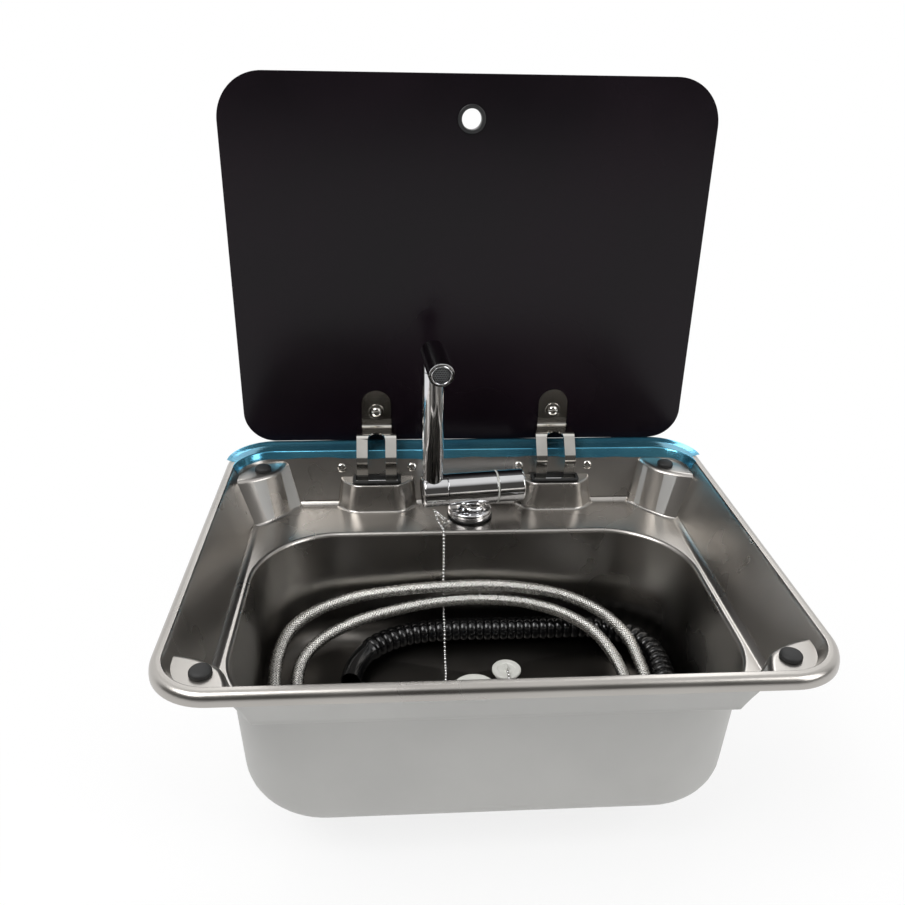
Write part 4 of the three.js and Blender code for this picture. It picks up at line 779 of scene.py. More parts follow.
def plug_piece():
    x, y, z = PLUG_PLACE
    body = turned([(0, 0), (10.4, 0), (11, 0.6), (11.4, 2.4), (11, 2.8), (11.7, 4.6), (13.2, 5.2), (14, 5.9),
                   (14, 7.2), (13.4, 8), (9, 8), (8, 7.3), (3.6, 7.3), (3, 8), (0, 8)], at(x, y, z))
    eye = wire_ring(2.6, 0.8, Vector((x, y, z + 9.6)), Vector((0, 1, 0)), Vector((0, 0, 1)))
    return piece(join([body, eye]), "basin_plug", "white_plastic", "plug")


bead_chain()
for index, supply_route in enumerate(SUPPLY_ROUTES):
    supply_hose(index + 1, supply_route)
drain_hose()

# ---------- basin ----------
PAST_TRAY = 9
FILLET_TURNS = turns(0, 25, 50, 75)
EDGE_TURNS = turns(0, 22, 45, 68, 90)
PAD_CORNERS = {
    "front_left": (RECESS["x0"], RECESS["y0"], 1, 1),
    "front_right": (RECESS["x1"], RECESS["y0"], -1, 1),
    "rear_left": (RECESS["x0"], RECESS["y1"], 1, -1),
    "rear_right": (RECESS["x1"], RECESS["y1"], -1, -1),
}
# From the rim's lower edge to its flat top: share of the drop, distance in from the edge.
RIM_PROFILE = ((1, 0), (0.75, 0.15), (0.55, 0.5), (0.36, 1.15), (0.2, 2.1), (0.08, 3.4), (0.02, 4.6), (0, 6))


def recess_ring(height, grow):
    """Ring of the recess's sloping wall at a height above the tray."""
    share = height / RECESS_DEPTH
    area = {side: TRAY[side] - RECESS_DRAFT[side] * share for side in TRAY}
    corner = RECESS_CORNER - (1 - share) * RECESS_DRAFT["x0"] / 2
    return ring_at(area, corner, height - RECESS_DEPTH, grow)


def edge_ring(degrees, grow=0.0):
    """Ring on the rounded edge between the recess's wall and the flange."""
    sine, cosine = turns(degrees)[0]
    spread = RECESS_EDGE * (1 - cosine) * 0.7 - 0.4
    return at_height(recess_ring(RECESS_DEPTH, spread + grow), -RECESS_EDGE * (1 - sine))


def recess_body(skin, top):
    """The sunk tray's inside, or with a skin the outside of its sheet."""
    rings = []
    for sine, cosine in turns(0, 20, 40, 60, 80):
        height = RECESS_FILLET * (1 - cosine)
        inset = RECESS_FILLET * (1 - sine) - 0.3 * height
        rings.append(at_height(recess_ring(height, skin - inset), height - RECESS_DEPTH - skin * cosine))
    rings.append(recess_ring(RECESS_FILLET + 2, skin))
    rings.append(recess_ring(RECESS_DEPTH - RECESS_EDGE - 0.6, skin))
    if skin:
        return loft([*rings, at_height(recess_ring(RECESS_DEPTH, skin), -SHEET / 2)])
    rings += [edge_ring(degrees) for degrees in (15, 35, 55, 75, 90)]
    return loft([*rings, at_height(rings[-1], top)])


def bowl_body(skin, top):
    """The bowl with its dish for the waste, floor fillet and rounded lip."""
    seat = {"x0": WASTE.x - WASTE_SEAT, "x1": WASTE.x + WASTE_SEAT,
            "y0": WASTE.y - WASTE_SEAT, "y1": WASTE.y + WASTE_SEAT}
    rings = [ring_at(seat, WASTE_SEAT, WASTE.z - skin)]
    foot = BOWL_DRAFT + BOWL_FILLET
    for sine, cosine in turns(*range(0, 90, 10)):
        z = BOWL_FLOOR - skin + BOWL_FILLET * (1 - cosine)
        rings.append(ring_at(BOWL, BOWL_CORNER, z, skin - foot + BOWL_FILLET * sine))
    rings.append(ring_at(BOWL, BOWL_CORNER, BOWL_FLOOR + BOWL_FILLET, skin - BOWL_DRAFT))
    lip = BOWL_LIP - skin
    for sine, cosine in turns(0, 18, 36, 54, 72, 90):
        z = -RECESS_DEPTH - BOWL_LIP + lip * sine
        rings.append(ring_at(BOWL, BOWL_CORNER, z, skin + lip * (1 - cosine)))
    return loft([*rings, at_height(rings[-1], top)])


def pad_body(corner, skin):
    """Corner pad: a column with a curved front, flat on top, wider where it meets the tray."""
    x0, y0, in_x, in_y = corner

    def ring(share, z, shrink):
        edge = [(a[0] + (b[0] - a[0]) * share, a[1] + (b[1] - a[1]) * share)
                for a, b in zip(PAD_TOP, PAD_BASE)]
        factor = 1 - shrink / PAD_TOP[2][1]
        curve = [p * factor for p in spline(edge, 7)]
        plan = [*curve, Vector((curve[-1].x, -30)), Vector((-30, -30)), Vector((-30, curve[0].y))]
        placed = [(x0 + in_x * p.x, y0 + in_y * p.y, z) for p in plan]
        return placed[::-1] if in_x * in_y > 0 else placed

    rings = [ring(1.15, -RECESS_DEPTH - PAST_TRAY, skin - PAD_FILLET)]
    for sine, cosine in FILLET_TURNS:
        height = PAD_FILLET * (1 - cosine)
        rings.append(ring(1 - height / 40, height - RECESS_DEPTH, skin - PAD_FILLET * (1 - sine) * 0.7))
    for sine, cosine in EDGE_TURNS:
        z = -PAD_DROP - skin - PAD_FILLET * (1 - sine)
        rings.append(ring(0.08 * (1 - sine), z, skin + PAD_FILLET * (1 - cosine)))
    return loft(rings)


def boss_body(x, skin):
    """Hinge boss: a flat front between two slanting sides, flat on top, wider where it meets the tray."""
    def ring(z, flare):
        front = RECESS["y1"] - BOSS_FRONT - flare + skin
        narrow = 22 + flare - skin * 0.5
        wide = 37 + flare - skin
        back = RECESS["y1"] + 14
        corners = [(wide, back), (wide, front + wide - narrow, 16), (narrow, front, 18), (0, front)]
        half = rounded_path(corners, 7)
        plan = [(-px, py) for px, py in half] + [(px, py) for px, py in reversed(half[:-1])]
        return [(x + px, py, z) for px, py in plan]

    rings = [ring(-RECESS_DEPTH - PAST_TRAY, 5 + PAD_FILLET)]
    for sine, cosine in FILLET_TURNS:
        height = PAD_FILLET * (1 - cosine)
        rings.append(ring(height - RECESS_DEPTH, 4 - height * 0.1 + PAD_FILLET * (1 - sine) * 0.8))
    for sine, cosine in EDGE_TURNS:
        rings.append(ring(-BOSS_DROP - skin - 2 * (1 - sine), 0.3 - 1.5 * (1 - cosine)))
    return loft(rings)


def slot_block(x, grow, z0, z1):
    """A block with the plan of the slot in a hinge boss, for the hole and for the grommet in it."""
    front = RECESS["y1"] - BOSS_FRONT + 3.5
    area = {"x0": x - GROMMET["width"] / 2, "x1": x + GROMMET["width"] / 2,
            "y0": front, "y1": front + GROMMET["depth"]}
    return extruded(rounded_outline(area, 4, grow, 8), z0, z1)


def rim_skin(depth):
    """The body under the rim's outer face, or at a depth of one sheet under its inner face."""
    rings = []
    for i, (share, inset) in enumerate(RIM_PROFILE):
        z = -RIM_DROP * share - (depth if i else depth * 2)
        rings.append(ring_at(RIM, RIM_CORNER, z, -inset - depth))
    return loft(rings)


def on_rear_wall(x):
    """Places a thing made about Z square to the rear wall, where a rivet goes."""
    y = TRAY["y1"] + (RECESS_DEPTH - RIVET_DROP) * math.tan(WALL_TILT)
    return at(x, y, -RIVET_DROP) @ Matrix.Rotation(math.pi / 2 - WALL_TILT, 4, "X")


def basin():
    """One shell: the bodies grown by the sheet's thickness, less the same bodies at their own size."""
    shell = boolean(rim_skin(0), [rim_skin(SHEET)])
    boolean(shell, [recess_body(SHEET, 0)], "UNION")
    boolean(shell, [bowl_body(SHEET, -RECESS_DEPTH - SHEET / 2)], "UNION")
    hollow = boolean(recess_body(0, 5), [bowl_body(0, -RECESS_DEPTH + 2)], "UNION")
    for corner in PAD_CORNERS.values():
        boolean(hollow, [pad_body(corner, 0)])
        boolean(shell, [pad_body(corner, SHEET)])
    for x in (-HINGE_X, HINGE_X):
        boolean(hollow, [boss_body(x, 0)])
        boolean(shell, [boss_body(x, SHEET)])
    boolean(shell, [hollow])
    holes = [slot_block(x, -1.3, -BOSS_DROP - 4, -BOSS_DROP + 4) for x in (-HINGE_X, HINGE_X)]
    holes.append(rod(WASTE_HOLE, -9, 9, Matrix.Translation(WASTE), 64))
    holes.append(rod(TAP_HOLE, -9, 9, at(TAP_PLACE[0], TAP_PLACE[1], -RECESS_DEPTH), 64))
    return drop_flat_faces(boolean(shell, holes))


def two_finishes(obj):
    """The outside and underside keep the mill's matt skin: faces with steel straight above them."""
    obj.data.materials.append(LOOKS["pickled_steel"])
    with edited(obj.data) as solid:
        tree = BVHTree.FromBMesh(solid)
        for face in solid.faces:
            start = face.calc_center_median() + face.normal * 0.1 * MM
            if tree.ray_cast(start, Vector((0, 0, 1)))[0] is not None:
                face.material_index = 1


two_finishes(piece(basin(), "pressed_basin", "stainless", "basin", angle=28))


def film():
    """Film left on the rear flange: from near the rim's edge over the flange and down the wall."""
    steps = 16
    straight = 60
    lift = 0.16

    def rear_row(ring, height):
        right, left = ring[:steps + 1], ring[steps + 1:2 * steps + 2]
        middle = [Vector(right[-1]).lerp(Vector(left[0]), i / straight) for i in range(1, straight)]
        row = [Vector(p) for p in right] + middle + [Vector(p) for p in left]
        return [Vector((p.x, p.y, height(p))) for p in row]

    def hem(p):
        wave = math.sin(p.x * 0.031) + 0.6 * math.sin(p.x * 0.083 + 1.3) + 0.3 * math.sin(p.x * 0.21)
        return -8.2 + 0.9 * wave - 0.9 * p.x / 230

    def on_wall(p, share):
        """A point that share of the way down from the edge to the hem, which follows the wall's slope."""
        z = -RECESS_EDGE + (p.z + RECESS_EDGE) * share
        corner = min(max((abs(p.x) - (RECESS["x1"] - RECESS_CORNER)) / RECESS_CORNER, 0), 1)
        inward = Vector((math.copysign(corner, -p.x), -math.sqrt(max(1 - corner ** 2, 0)), 0))
        rear = -z * math.tan(WALL_TILT) * (1 - corner)
        side = -z * RECESS_DRAFT["x0"] / RECESS_DEPTH * corner
        return Vector((p.x, p.y, 0)) + inward * (rear + side) + Vector((0, 0, z))

    flange = {
        -0.9: lambda p: 2.15 + 0.2 * math.sin(p.x * 0.043),
        -3.4: lambda p: 1.35 + 0.15 * math.sin(p.x * 0.06 + 1),
        -6.2: lambda p: 0.35,
        -8.6: lambda p: lift,
    }
    rows = [rear_row(ring_at(RIM, RIM_CORNER, 0, grow), height) for grow, height in flange.items()]
    for degrees in (90, 70, 45, 20):
        ring = edge_ring(degrees, -lift)
        rows.append(rear_row(ring, lambda p, z=ring[0][2]: z + lift * 0.6))
    for share in (0.35, 0.7, 1.0):
        rows.append([on_wall(p, share) for p in rear_row(recess_ring(RECESS_DEPTH, -0.45), hem)])
    count = len(rows[0])
    faces = []
    for level in range(len(rows) - 1):
        for a in range(level * count, (level + 1) * count - 1):
            faces.append((a, a + 1, a + count + 1, a + count))
    sheet = new_object([p for row in rows for p in row], faces)
    return modified(sheet, "SOLIDIFY", thickness=0.1, offset=0)


piece(film(), "protective_film", "blue_film", angle=50)


# ---------- rubber, rivets and pins on the basin ----------
def bumper(corner):
    x0, y0, in_x, in_y = PAD_CORNERS[corner]
    inset = BUMPER_INSET["front" if in_y > 0 else "rear"]
    r, h = BUMPER_RADIUS, BUMPER_HEIGHT
    stem = [(0, -4.5), (1.6, -4.5), (3.8, -1.6), (3.8, -1.3), (2.5, -1.3), (2.5, GAP)]
    dome = [(r, GAP), (r, h * 0.45), (r * 0.965, h * 0.62), (r * 0.88, h * 0.79), (r * 0.74, h * 0.91),
            (r * 0.52, h * 0.98), (0, h)]
    place = at(x0 + in_x * BUMPER_INSET["x"], y0 + in_y * inset, -PAD_DROP)
    piece(turned(stem + dome, place, 56), f"dome_{corner}", "rubber", f"bumper_{corner}")


def grommet(side, x):
    z = -BOSS_DROP
    body = rounded(slot_block(x, 0, z + GAP, z + GROMMET["proud"]), 1.0, 4)
    neck = slot_block(x, GROMMET["groove"] - GROMMET["wall"], z - SHEET - 1, z + 1)
    foot = slot_block(x, -1, z - SHEET - GAP - GROMMET["below"], z - SHEET - GAP)
    boolean(body, [neck, foot], "UNION")
    boolean(body, [slot_block(x, -GROMMET["wall"], z - 9, z + 9)])
    piece(rounded(body, 0.3), f"slot_seal_{side}", "rubber", f"slot_grommet_{side}")


def rivet(name, x):
    tail = [(0, -7.6), (2.1, -7.4), (3.1, -6.4), (3.1, -3.1), (2.4, -3.1)]
    head = [(2.4, GAP), (4.75, GAP), (4.6, 0.75), (4.1, 1.3), (3.2, 1.72), (2.2, 1.9), (1.45, 1.85),
            (1.25, 1.6), (1.25, -1.6), (0, -1.6)]
    piece(turned(tail + head, on_rear_wall(x), 40), f"pop_{name}", "polished_steel", name)


def hinge_pin(side, x):
    half, head = 25, 3.7
    profile = [(0, -half - 1.2), (head - 0.4, -half - 1.2), (head, -half - 0.8), (head, -half), (2.5, -half),
               (2.5, half), (head, half), (head, half + 0.8), (head - 0.4, half + 1.2), (0, half + 1.2)]
    place = at(x, PIVOT.y, PIVOT.z) @ rotation(90, "Y")
    piece(turned(profile, place, 40), f"steel_pin_{side}", "zinc", f"hinge_pin_{side}")


# ---------- lid and hinge straps ----------
def through_lid(x, z):
    """Places a thing made about Z with its axis along Y: +Z of the profile points at the user."""
    return at(x, LID_FRONT, z) @ rotation(90, "X")


def ribbon(path, thickness):
    """Outline of a strip of sheet that follows a path."""
    left, right = [], []
    for p, tangent in zip(path, tangents(path)):
        across = Vector((-tangent.y, tangent.x)) * thickness / 2
        left.append(p + across)
        right.append(p - across)
    return left + right[::-1]


def hinge_strap(side, x):
    """One bent strip, cut to its outline from the front and from above, with a slot and a hub on the pin."""
    tab_y = LID_FRONT - GAP - STRAP_SHEET / 2
    path = rounded_path([
        (tab_y, STRAP_TOP), (tab_y, 18.6, 3.4), (STRAP_FRONT + 17.2, 18.2, 7), (STRAP_FRONT, -3.6, 12),
        (STRAP_FRONT + 2.7, -BOSS_DROP - 1, 8), (STRAP_FRONT + 6.7, -34.3, 4), (PIVOT.y, PIVOT.z)])
    section = ribbon(path, STRAP_SHEET)
    strip = loft([[(edge, y, z) for y, z in section] for edge in (-STRAP_HALF, STRAP_HALF)])
    tab = arc(0, STRAP_TOP - STRAP_TAB, STRAP_TAB, 0, 180, 32)
    tab += [(-STRAP_TAB, STRAP_SHOULDER), (STRAP_TAB, STRAP_SHOULDER)]
    blank = extruded(tab, 0, FAR, at(0, FAR, 0) @ rotation(90, "X"))
    step = STRAP_HALF - STRAP_TAB
    curve = [(STRAP_HALF - step * (1 - math.cos(math.pi * t / 10)) / 2, STRAP_BEND - 7 + 0.7 * t)
             for t in range(11)]
    right = [(STRAP_HALF, 0), *curve, (STRAP_TAB, LID_FRONT)]
    plan = right[::-1] + [(-px, py) for px, py in right]
    boolean(blank, [extruded(plan, STRAP_SHOULDER - FAR, STRAP_SHOULDER)], "UNION")
    boolean(strip, [blank], "INTERSECT")
    slot = [(-STRAP_SLOT, 0), (STRAP_SLOT, 0)] + arc(0, STRAP_ARCH - STRAP_SLOT, STRAP_SLOT, 0, 180, 28)
    boolean(strip, [extruded(slot, -34, 26)])
    hub = at(0, PIVOT.y, PIVOT.z) @ rotation(90, "Y")
    boolean(strip, [rod(HUB_RADIUS, -STRAP_HALF, STRAP_HALF, hub)], "UNION")
    low = [(-STRAP_SLOT, 0), (STRAP_SLOT, 0), (STRAP_SLOT, 400), (-STRAP_SLOT, 400)]
    boolean(strip, [extruded(low, -FAR, PIVOT.z + 6)])
    boolean(strip, [rod(STRAP_HOLE, -60, 60, hub), rod(STRAP_HOLE, -60, 60, through_lid(0, SCREW_HEIGHT))])
    moved(strip, at(x, 0, 0))
    piece(rounded(strip, 0.28, 3, 40), f"bent_strap_{side}", "polished_steel", f"hinge_strap_{side}", "lid")


def lid_screw(side, x):
    """Cross-head screw and washer on the strap, and a cap nut behind the glass."""
    place = through_lid(x, SCREW_HEIGHT)
    under = GAP + STRAP_SHEET + GAP
    seat = under + 1 + GAP
    head = turned([(0, -9.2), (2.1, -9.2), (2.5, -8.8), (2.5, seat), (5, seat), (5, seat + 0.9),
                   (4.7, seat + 1.6), (4.0, seat + 2.3), (2.8, seat + 2.8), (1.3, seat + 3), (0, seat + 3)],
                  segments=48)
    bar = [(-2.7, -0.45), (2.7, -0.45), (2.7, 0.45), (-2.7, 0.45)]
    for turn in (0.35, 0.35 + math.pi / 2):
        low = [(px * 0.45, py * 0.7, seat + 1.1) for px, py in bar]
        high = [(px, py, seat + 3.4) for px, py in bar]
        boolean(head, [moved(loft([low, high]), Matrix.Rotation(turn, 4, "Z"))])
    moved(rounded(head, 0.1, 2, 40), place)
    washer = tube(7.75, STRAP_HOLE, under, under + 1, place, 0.25)
    nut = turned([(0, -10.7), (3, -10.6), (5, -10), (6.2, -8.9), (6.8, -7.2), (7, -5.7), (7, -5.3),
                  (2.8, -5.3), (2.8, -9.5), (0, -9.5)], place, 56)
    piece(head, f"pan_screw_{side}", "polished_steel", f"strap_screw_{side}", "lid")
    piece(washer, f"flat_washer_{side}", "polished_steel", f"screw_washer_{side}", "lid")
    piece(nut, f"dome_nut_{side}", "polished_steel", f"cap_nut_{side}", "lid")


def lid_glass():
    free, hinged = LID_FREE_CORNER, LID_HINGE_CORNER
    outline = arc(LID_HALF - free, LID_HIGH - free, free, 0, 90, 24)
    outline += arc(-LID_HALF + free, LID_HIGH - free, free, 90, 180, 24)
    outline += arc(-LID_HALF + hinged, LID_LOW + hinged, hinged, 180, 270, 24)
    outline += arc(LID_HALF - hinged, LID_LOW + hinged, hinged, 270, 360, 24)
    glass = extruded(outline, -LID_THICKNESS, 0, through_lid(0, 0))
    holes = [rod(SCREW_BORE, -30, 30, through_lid(x, SCREW_HEIGHT)) for x in (-HINGE_X, HINGE_X)]
    holes.append(rod(RING_BORE, -30, 30, through_lid(0, RING_HEIGHT), 72))
    boolean(glass, holes)
    piece(rounded(glass, 0.7, 3, 50), "toughened_glass", "black_glass", "lid_glass", "lid")


def finger_ring():
    halves = {
        "front": [(9, -5.3), (10.2, -5.3), (10.2, GAP), (12.7, GAP), (12.7, 0.9), (12.45, 1.35), (12, 1.62),
                  (11.4, 1.7), (10.3, 1.7), (9.6, 1.5), (9.15, 1.15), (9, 0.6), (9, -5.3)],
        "back": [(9, -7.2), (11.6, -7.2), (12.3, -6.95), (12.65, -6.5), (12.7, -5.9), (12.7, -5.6), (9, -5.6),
                 (9, -7.2)],
    }
    for half, profile in halves.items():
        ring = turned(profile, through_lid(0, RING_HEIGHT), 72)
        piece(ring, f"finger_grip_{half}", "black_plastic", f"finger_ring_{half}", "lid")


for corner_name in PAD_CORNERS:
    bumper(corner_name)
lid_glass()
finger_ring()
for hinge_side, hinge_x in (("left", -HINGE_X), ("right", HINGE_X)):
    grommet(hinge_side, hinge_x)
    outward = math.copysign(RIVET_OFFSET, hinge_x)
    rivet(f"rivet_{hinge_side}_outer", hinge_x + outward)
    rivet(f"rivet_{hinge_side}_inner", hinge_x - outward)
    hinge_pin(hinge_side, hinge_x)
    hinge_strap(hinge_side, hinge_x)
    lid_screw(hinge_side, hinge_x)

# ---------- folding tap ----------
TAP = Matrix.Translation(TAP_PLACE) @ rotation(TAP_YAW, "Z")
BARREL = TAP @ rotation(90, "Y")
COLUMN = TAP @ at(COLUMN_X, 0, 0)
OUTLET = COLUMN @ at(0, 0, HEAD_HEIGHT) @ rotation(90 + HEAD_SLOPE, "X")


def tap_foot():
    seal = tube(22.6, SHANK_RADIUS + GAP, SEAL_LOW, SEAL_LOW + SEAL_HEIGHT, TAP, 0.4)
    piece(seal, "foot_seal", "rubber", "tap_seal")
    bore = SHANK_RADIUS + GAP
    steps = [(bore, 0), (22, 0), (22, 1.8), (21.8, 2.15), (21.3, 2.4), (21.3, 2.9), (21.8, 3.15), (22, 3.5),
             (22, 5.3), (21.75, 6), (21.2, 6.6), (20.4, 6.95), (19.4, FOOT_HEIGHT), (bore, FOOT_HEIGHT)]
    steps = [(radius, FOOT_LOW + z) for radius, z in steps]
    piece(turned(steps + steps[:1], TAP, 80), "stepped_escutcheon", "chrome", "tap_escutcheon")


def tap_body():
    r = TAP_RADIUS
    barrel = turned([(0, -24), (r - 0.5, -24), (r - 0.15, -23.85), (r, -23.5), (r, 25), (r - 0.15, 25.35),
                     (r - 0.5, 25.5), (0, 25.5)], BARREL, 96)
    low = FOOT_LOW + FOOT_HEIGHT + GAP
    neck = turned([(0, low), (16, low), (16.5, low + 0.4), (15.6, low + 0.8), (14.2, low + 1.5),
                   (13, low + 2.6), (12.3, low + 4), (12, low + 6), (12, low + 7.5), (12.4, low + 9.2),
                   (13.5, low + 11), (13.5, 0), (0, 0)], TAP @ at(3, 0, 0), 80)
    boolean(barrel, [neck], "UNION")
    boolean(barrel, [rod(9.3, -25, -12, BARREL), rod(11.8, 5.5, 26.5, BARREL), rod(9, low - 1, low + 6, TAP)])
    piece(rounded(barrel, 0.35, 2, 30), "mixer_body", "chrome", "tap_body", angle=35)
    band = [(6, 25.75), (16.1, 25.75), (16.4, 25.95), (16.45, 26.4), (16.4, 26.85), (16.1, 27.05), (6, 27.05),
            (6, 25.75)]
    piece(turned(band, BARREL, 80), "white_band", "white_plastic", "tap_band")


def tap_knob():
    r = TAP_RADIUS
    knob = turned([(0, 16.5), (4, 16.5), (4, 27.3), (r - 0.6, 27.3), (r - 0.15, 27.45), (r, 27.9), (r, 51.8),
                   (r - 0.2, 52.7), (r - 0.8, 53.5), (r - 1.7, 54), (r - 3, 54.25), (0, 54.4)], BARREL, 96)
    piece(knob, "turning_knob", "chrome", "tap_knob", "knob")


def tap_spout():
    r = TAP_RADIUS
    collar = turned([(0, -48.95), (r - 3, -48.9), (r - 1.6, -48.6), (r - 0.7, -48), (r - 0.15, -47.2),
                     (r, -46.2), (r, -24.8), (r - 0.15, -24.45), (r - 0.5, -24.3), (9, -24.3),
                     (9, -13.2), (0, -13)], BARREL, 96)
    boolean(collar, [rod(COLUMN_RADIUS + GAP, -3, 40, COLUMN, 80)])
    piece(rounded(collar, 0.3, 2, 40), "folding_collar", "chrome", "tap_collar", "spout", 35)
    column = tube(COLUMN_RADIUS, 8.5, -2.7, SLEEVE_LOW - GAP, COLUMN, segments=80)
    piece(column, "round_column", "chrome", "spout_column", "spout")


def outlet_head():
    r = HEAD_RADIUS
    crown = [(r * sine, -4.4 - 7.6 * cosine) for sine, cosine in turns(*range(0, 90, 9))]
    barrel = turned([*crown, (r, -4.4), (r, HEAD_FRONT - 0.8), (r - 0.2, HEAD_FRONT - 0.2),
                     (r - 0.6, HEAD_FRONT), (0, HEAD_FRONT)], OUTLET, 80)
    low = SLEEVE_LOW
    neck = turned([(0, low - 14), (7.8, low - 14), (8.2, low - 13.6), (8.2, low), (10.1, low),
                   (COLUMN_RADIUS, low + 0.2), (COLUMN_RADIUS, HEAD_HEIGHT - 2), (0, HEAD_HEIGHT - 2)],
                  COLUMN, 80)
    boolean(barrel, [neck], "UNION")
    boolean(barrel, [rod(5.5, low - 15, HEAD_HEIGHT, COLUMN)])
    boolean(barrel, [turned([(0, 0), (6, 0), (6, 31), (9.8, 31), (9.8, 45), (0, 45)], OUTLET, 72)])
    piece(rounded(barrel, 0.25, 2, 40), "outlet_barrel", "chrome", "outlet_head", "outlet", 35)


def honeycomb(radius, cell, wall, z0, z1):
    """Walls of six-sided cells inside a circle."""
    cells = []
    reach = int(radius / cell) + 2
    section = ((cell, z0), (cell, z1), (cell - wall, z1), (cell - wall, z0))
    for row in range(-reach, reach + 1):
        for column in range(-reach, reach + 1):
            x = (column + row / 2) * cell * math.sqrt(3)
            y = row * cell * 1.5
            if math.hypot(x, y) <= radius - cell * 0.4:
                rings = [[(x + v, y + u, z) for u, v in circle(size, 6)] for size, z in section]
                cells.append(loft(rings, closed=True))
    return join(cells)


def aerator():
    housing = turned([(8, 31.3), (9.5, 31.3), (9.5, 43.6), (9.2, 43.9), (8.8, 44), (8.4, 43.9), (8.1, 43.5),
                      (8, 42.9), (8, 31.3)], OUTLET, 72)
    mesh = moved(honeycomb(radius=8.2, cell=1.32, wall=0.26, z0=41.9, z1=43.2), OUTLET)
    piece(housing, "aerator_housing", "chrome", "aerator", "outlet", 40)
    piece(mesh, "aerator_mesh", "zinc", body="outlet")
    piece(rod(7.9, 38, 38.6, OUTLET), "aerator_floor", "black_plastic", body="outlet")


def ridges(low, high, pitch, profile):
    """Thread-like rings: each ridge repeats the profile's [radius, height] pairs, a pitch above the last."""
    rows = []
    while low < high:
        rows += [(radius, low + z) for radius, z in profile]
        low += pitch
    return rows, low


def under_tap():
    """Shank, washer and nut below the tray; ridges on the shank stand for its thread."""
    r = SHANK_RADIUS
    foot = TAP_TRAY - 46
    top = FOOT_LOW + FOOT_HEIGHT
    thread, z = ridges(foot + 1, TAP_TRAY - 1, 1.25, [(r - 0.65, 0), (r, 0.5), (r, 0.75)])
    shank = [(9, foot), (r - 1, foot), *thread, (r - 0.6, z), (r, z + 1), (r, top), (9, top), (9, foot)]
    piece(turned(shank, TAP, 56), "threaded_shank", "brass", "tap_shank", angle=25)
    under = TAP_TRAY - SHEET - GAP
    piece(tube(21, r + GAP, under - 3, under, TAP, 0.5), "rubber_washer", "rubber", "deck_washer")
    low = under - 3 - GAP
    nut = boolean(hexagon(38, low - 8, low - 0.01), [rod(21, low - 2, low)], "UNION")
    boolean(nut, [rod(r + GAP, low - 12, low + 2)])
    piece(moved(rounded(nut, 0.4), TAP), "flanged_nut", "brass", "shank_nut")


tap_foot()
tap_body()
tap_knob()
tap_spout()
outlet_head()
aerator()
under_tap()


# ---------- waste ----------
def waste_outlet():
    """Flange on its seal, threaded body and barbed tail, with the gasket and ring nut under the bowl."""
    r = WASTE_RADIUS
    place = Matrix.Translation(WASTE)
    piece(tube(21, r + GAP, GAP, 1.5, place, 0.3), "flange_seal", "rubber", "waste_seal")
    z = 1.5 + GAP
    flange = [(r, z), (22, z), (22, z + 0.9), (21.7, z + 1.6), (21, z + 2.2), (20.2, z + 2.4),
              (19.4, z + 2.3), (15.6, z + 1.7), (13.6, z + 1.6), (12.4, z + 1.2), (11.7, z + 0.4), (11.5, z)]
    tail = [(11.5, -24), (9.5, -26), (9.5, -46), (10.7, -46), (11, -45.6)]
    for barb in (-42, -37, -32):
        tail += [(11, barb), (10.4, barb + 0.2), (11, barb + 4)]
    tail += [(11, -26), (r, -25)]
    thread, _ = ridges(-24, -3, 1.5, [(r - 0.6, 0), (r, 0.6), (r, 0.9)])
    profile = [*flange, *tail, *thread, (r, z)]
    piece(turned(profile, place, 72), "waste_outlet", "white_plastic", "waste_body", angle=30)
    piece(tube(22, r + GAP, -3.8, -1.3, place, 0.4), "waste_gasket", "rubber", "waste_washer")
    nut = tube(23, r + GAP, -13.1, -4.1, round_off=0.0)
    for turn in range(0, 360, 45):
        boolean(nut, [rod(2.6, -15, -2, rotation(turn, "Z") @ at(24.4, 0, 0), 24)])
    piece(moved(rounded(nut, 0.4), place), "ring_nut", "white_plastic", "waste_nut")


waste_outlet()

# ---------- stage ----------
FLOOR_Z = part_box("waste_body")[0].z - 0.0006
FLOOR_RADIUS = 6
ROOM_DARK = (0.07, 0.067, 0.064)
ROOM_BRIGHT = (0.8, 0.8, 0.8)
# Each row: name, place, width and height in metres, watts.
LAMPS = (
    ("key", (-0.9, -0.6, 1.4), (1.0, 1.0), 22),
    ("fill", (1.3, -0.9, 1.0), (0.8, 1.2), 14),
    ("back", (0.2, 1.4, 1.3), (1.6, 0.5), 8),
)


def seen_rays(tree):
    """1 for a ray from the camera, or one mirrored or let through by what it met first; 0 for others."""
    path = add(tree, "LightPath").outputs
    mirrored = maths(tree, "MAXIMUM", path["Is Camera Ray"], path["Is Glossy Ray"])
    return maths(tree, "MAXIMUM", mirrored, path["Is Transmission Ray"])


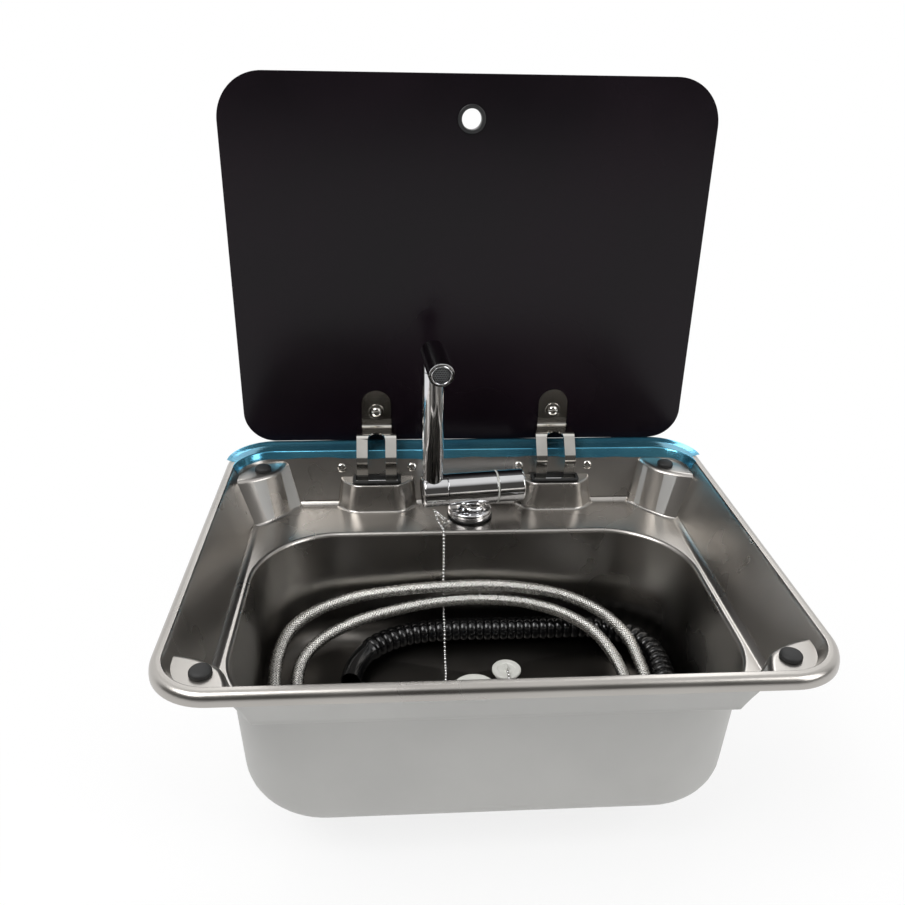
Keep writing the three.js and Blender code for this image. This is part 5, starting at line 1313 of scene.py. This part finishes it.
def make_stage():
    """Pale floor that goes over into the white backdrop away from the sink and keeps its shadow near it."""
    bpy.ops.mesh.primitive_circle_add(vertices=96, radius=FLOOR_RADIUS, fill_type="NGON",
                                      location=(0, 0, FLOOR_Z))
    floor = bpy.context.object
    floor.name = "floor"
    material, tree, shader = principled("floor", (0.86, 0.86, 0.86), 0.9)
    place = add(tree, "TexCoord").outputs["Object"]
    distance = add(tree, "VectorMath", {0: place}, operation="LENGTH").outputs["Value"]
    fade = to_range(tree, distance, 0.8, 1, 0.25, 0.55)
    seen = maths(tree, "MULTIPLY", seen_rays(tree), fade)
    white = add(tree, "Emission", {"Color": WHITE})
    fill(tree, tree.nodes["Material Output"], {"Surface": mixed(tree, seen, shader, white)})
    floor.data.materials.append(material)


def make_light(name, place, size, power):
    data = bpy.data.lights.new(name, "AREA")
    data.energy = power
    data.shape = "RECTANGLE"
    data.size, data.size_y = size
    lamp = add_object(name, data)
    lamp.location = place
    lamp.rotation_euler = (-Vector(place)).to_track_quat("-Z", "Y").to_euler()


def make_world():
    """White backdrop, seen directly and in metal; behind the camera the room that metal mirrors is dim."""
    world = bpy.data.worlds.new("studio")
    bpy.context.scene.world = world
    world.use_nodes = True
    tree = world.node_tree
    tree.nodes.clear()
    backdrop = to_range(tree, coordinate(tree, "Generated", "Y"), 0, 1, -0.15, 0.35)
    ceiling = to_range(tree, coordinate(tree, "Generated", "Z"), 0, 0.75, 0.62, 0.95)
    bright = maths(tree, "MAXIMUM", backdrop, ceiling)
    room = add(tree, "Background", {"Color": between(tree, bright, ROOM_DARK, ROOM_BRIGHT)})
    white = add(tree, "Background", {"Color": WHITE})
    direct = add(tree, "LightPath").outputs["Is Camera Ray"]
    seen = maths(tree, "MAXIMUM", direct, maths(tree, "MULTIPLY", seen_rays(tree), bright))
    add(tree, "OutputWorld", {"Surface": mixed(tree, seen, room, white)})


make_stage()
make_world()
for lamp_row in LAMPS:
    make_light(*lamp_row)
bpy.context.scene.view_settings.view_transform = "Standard"
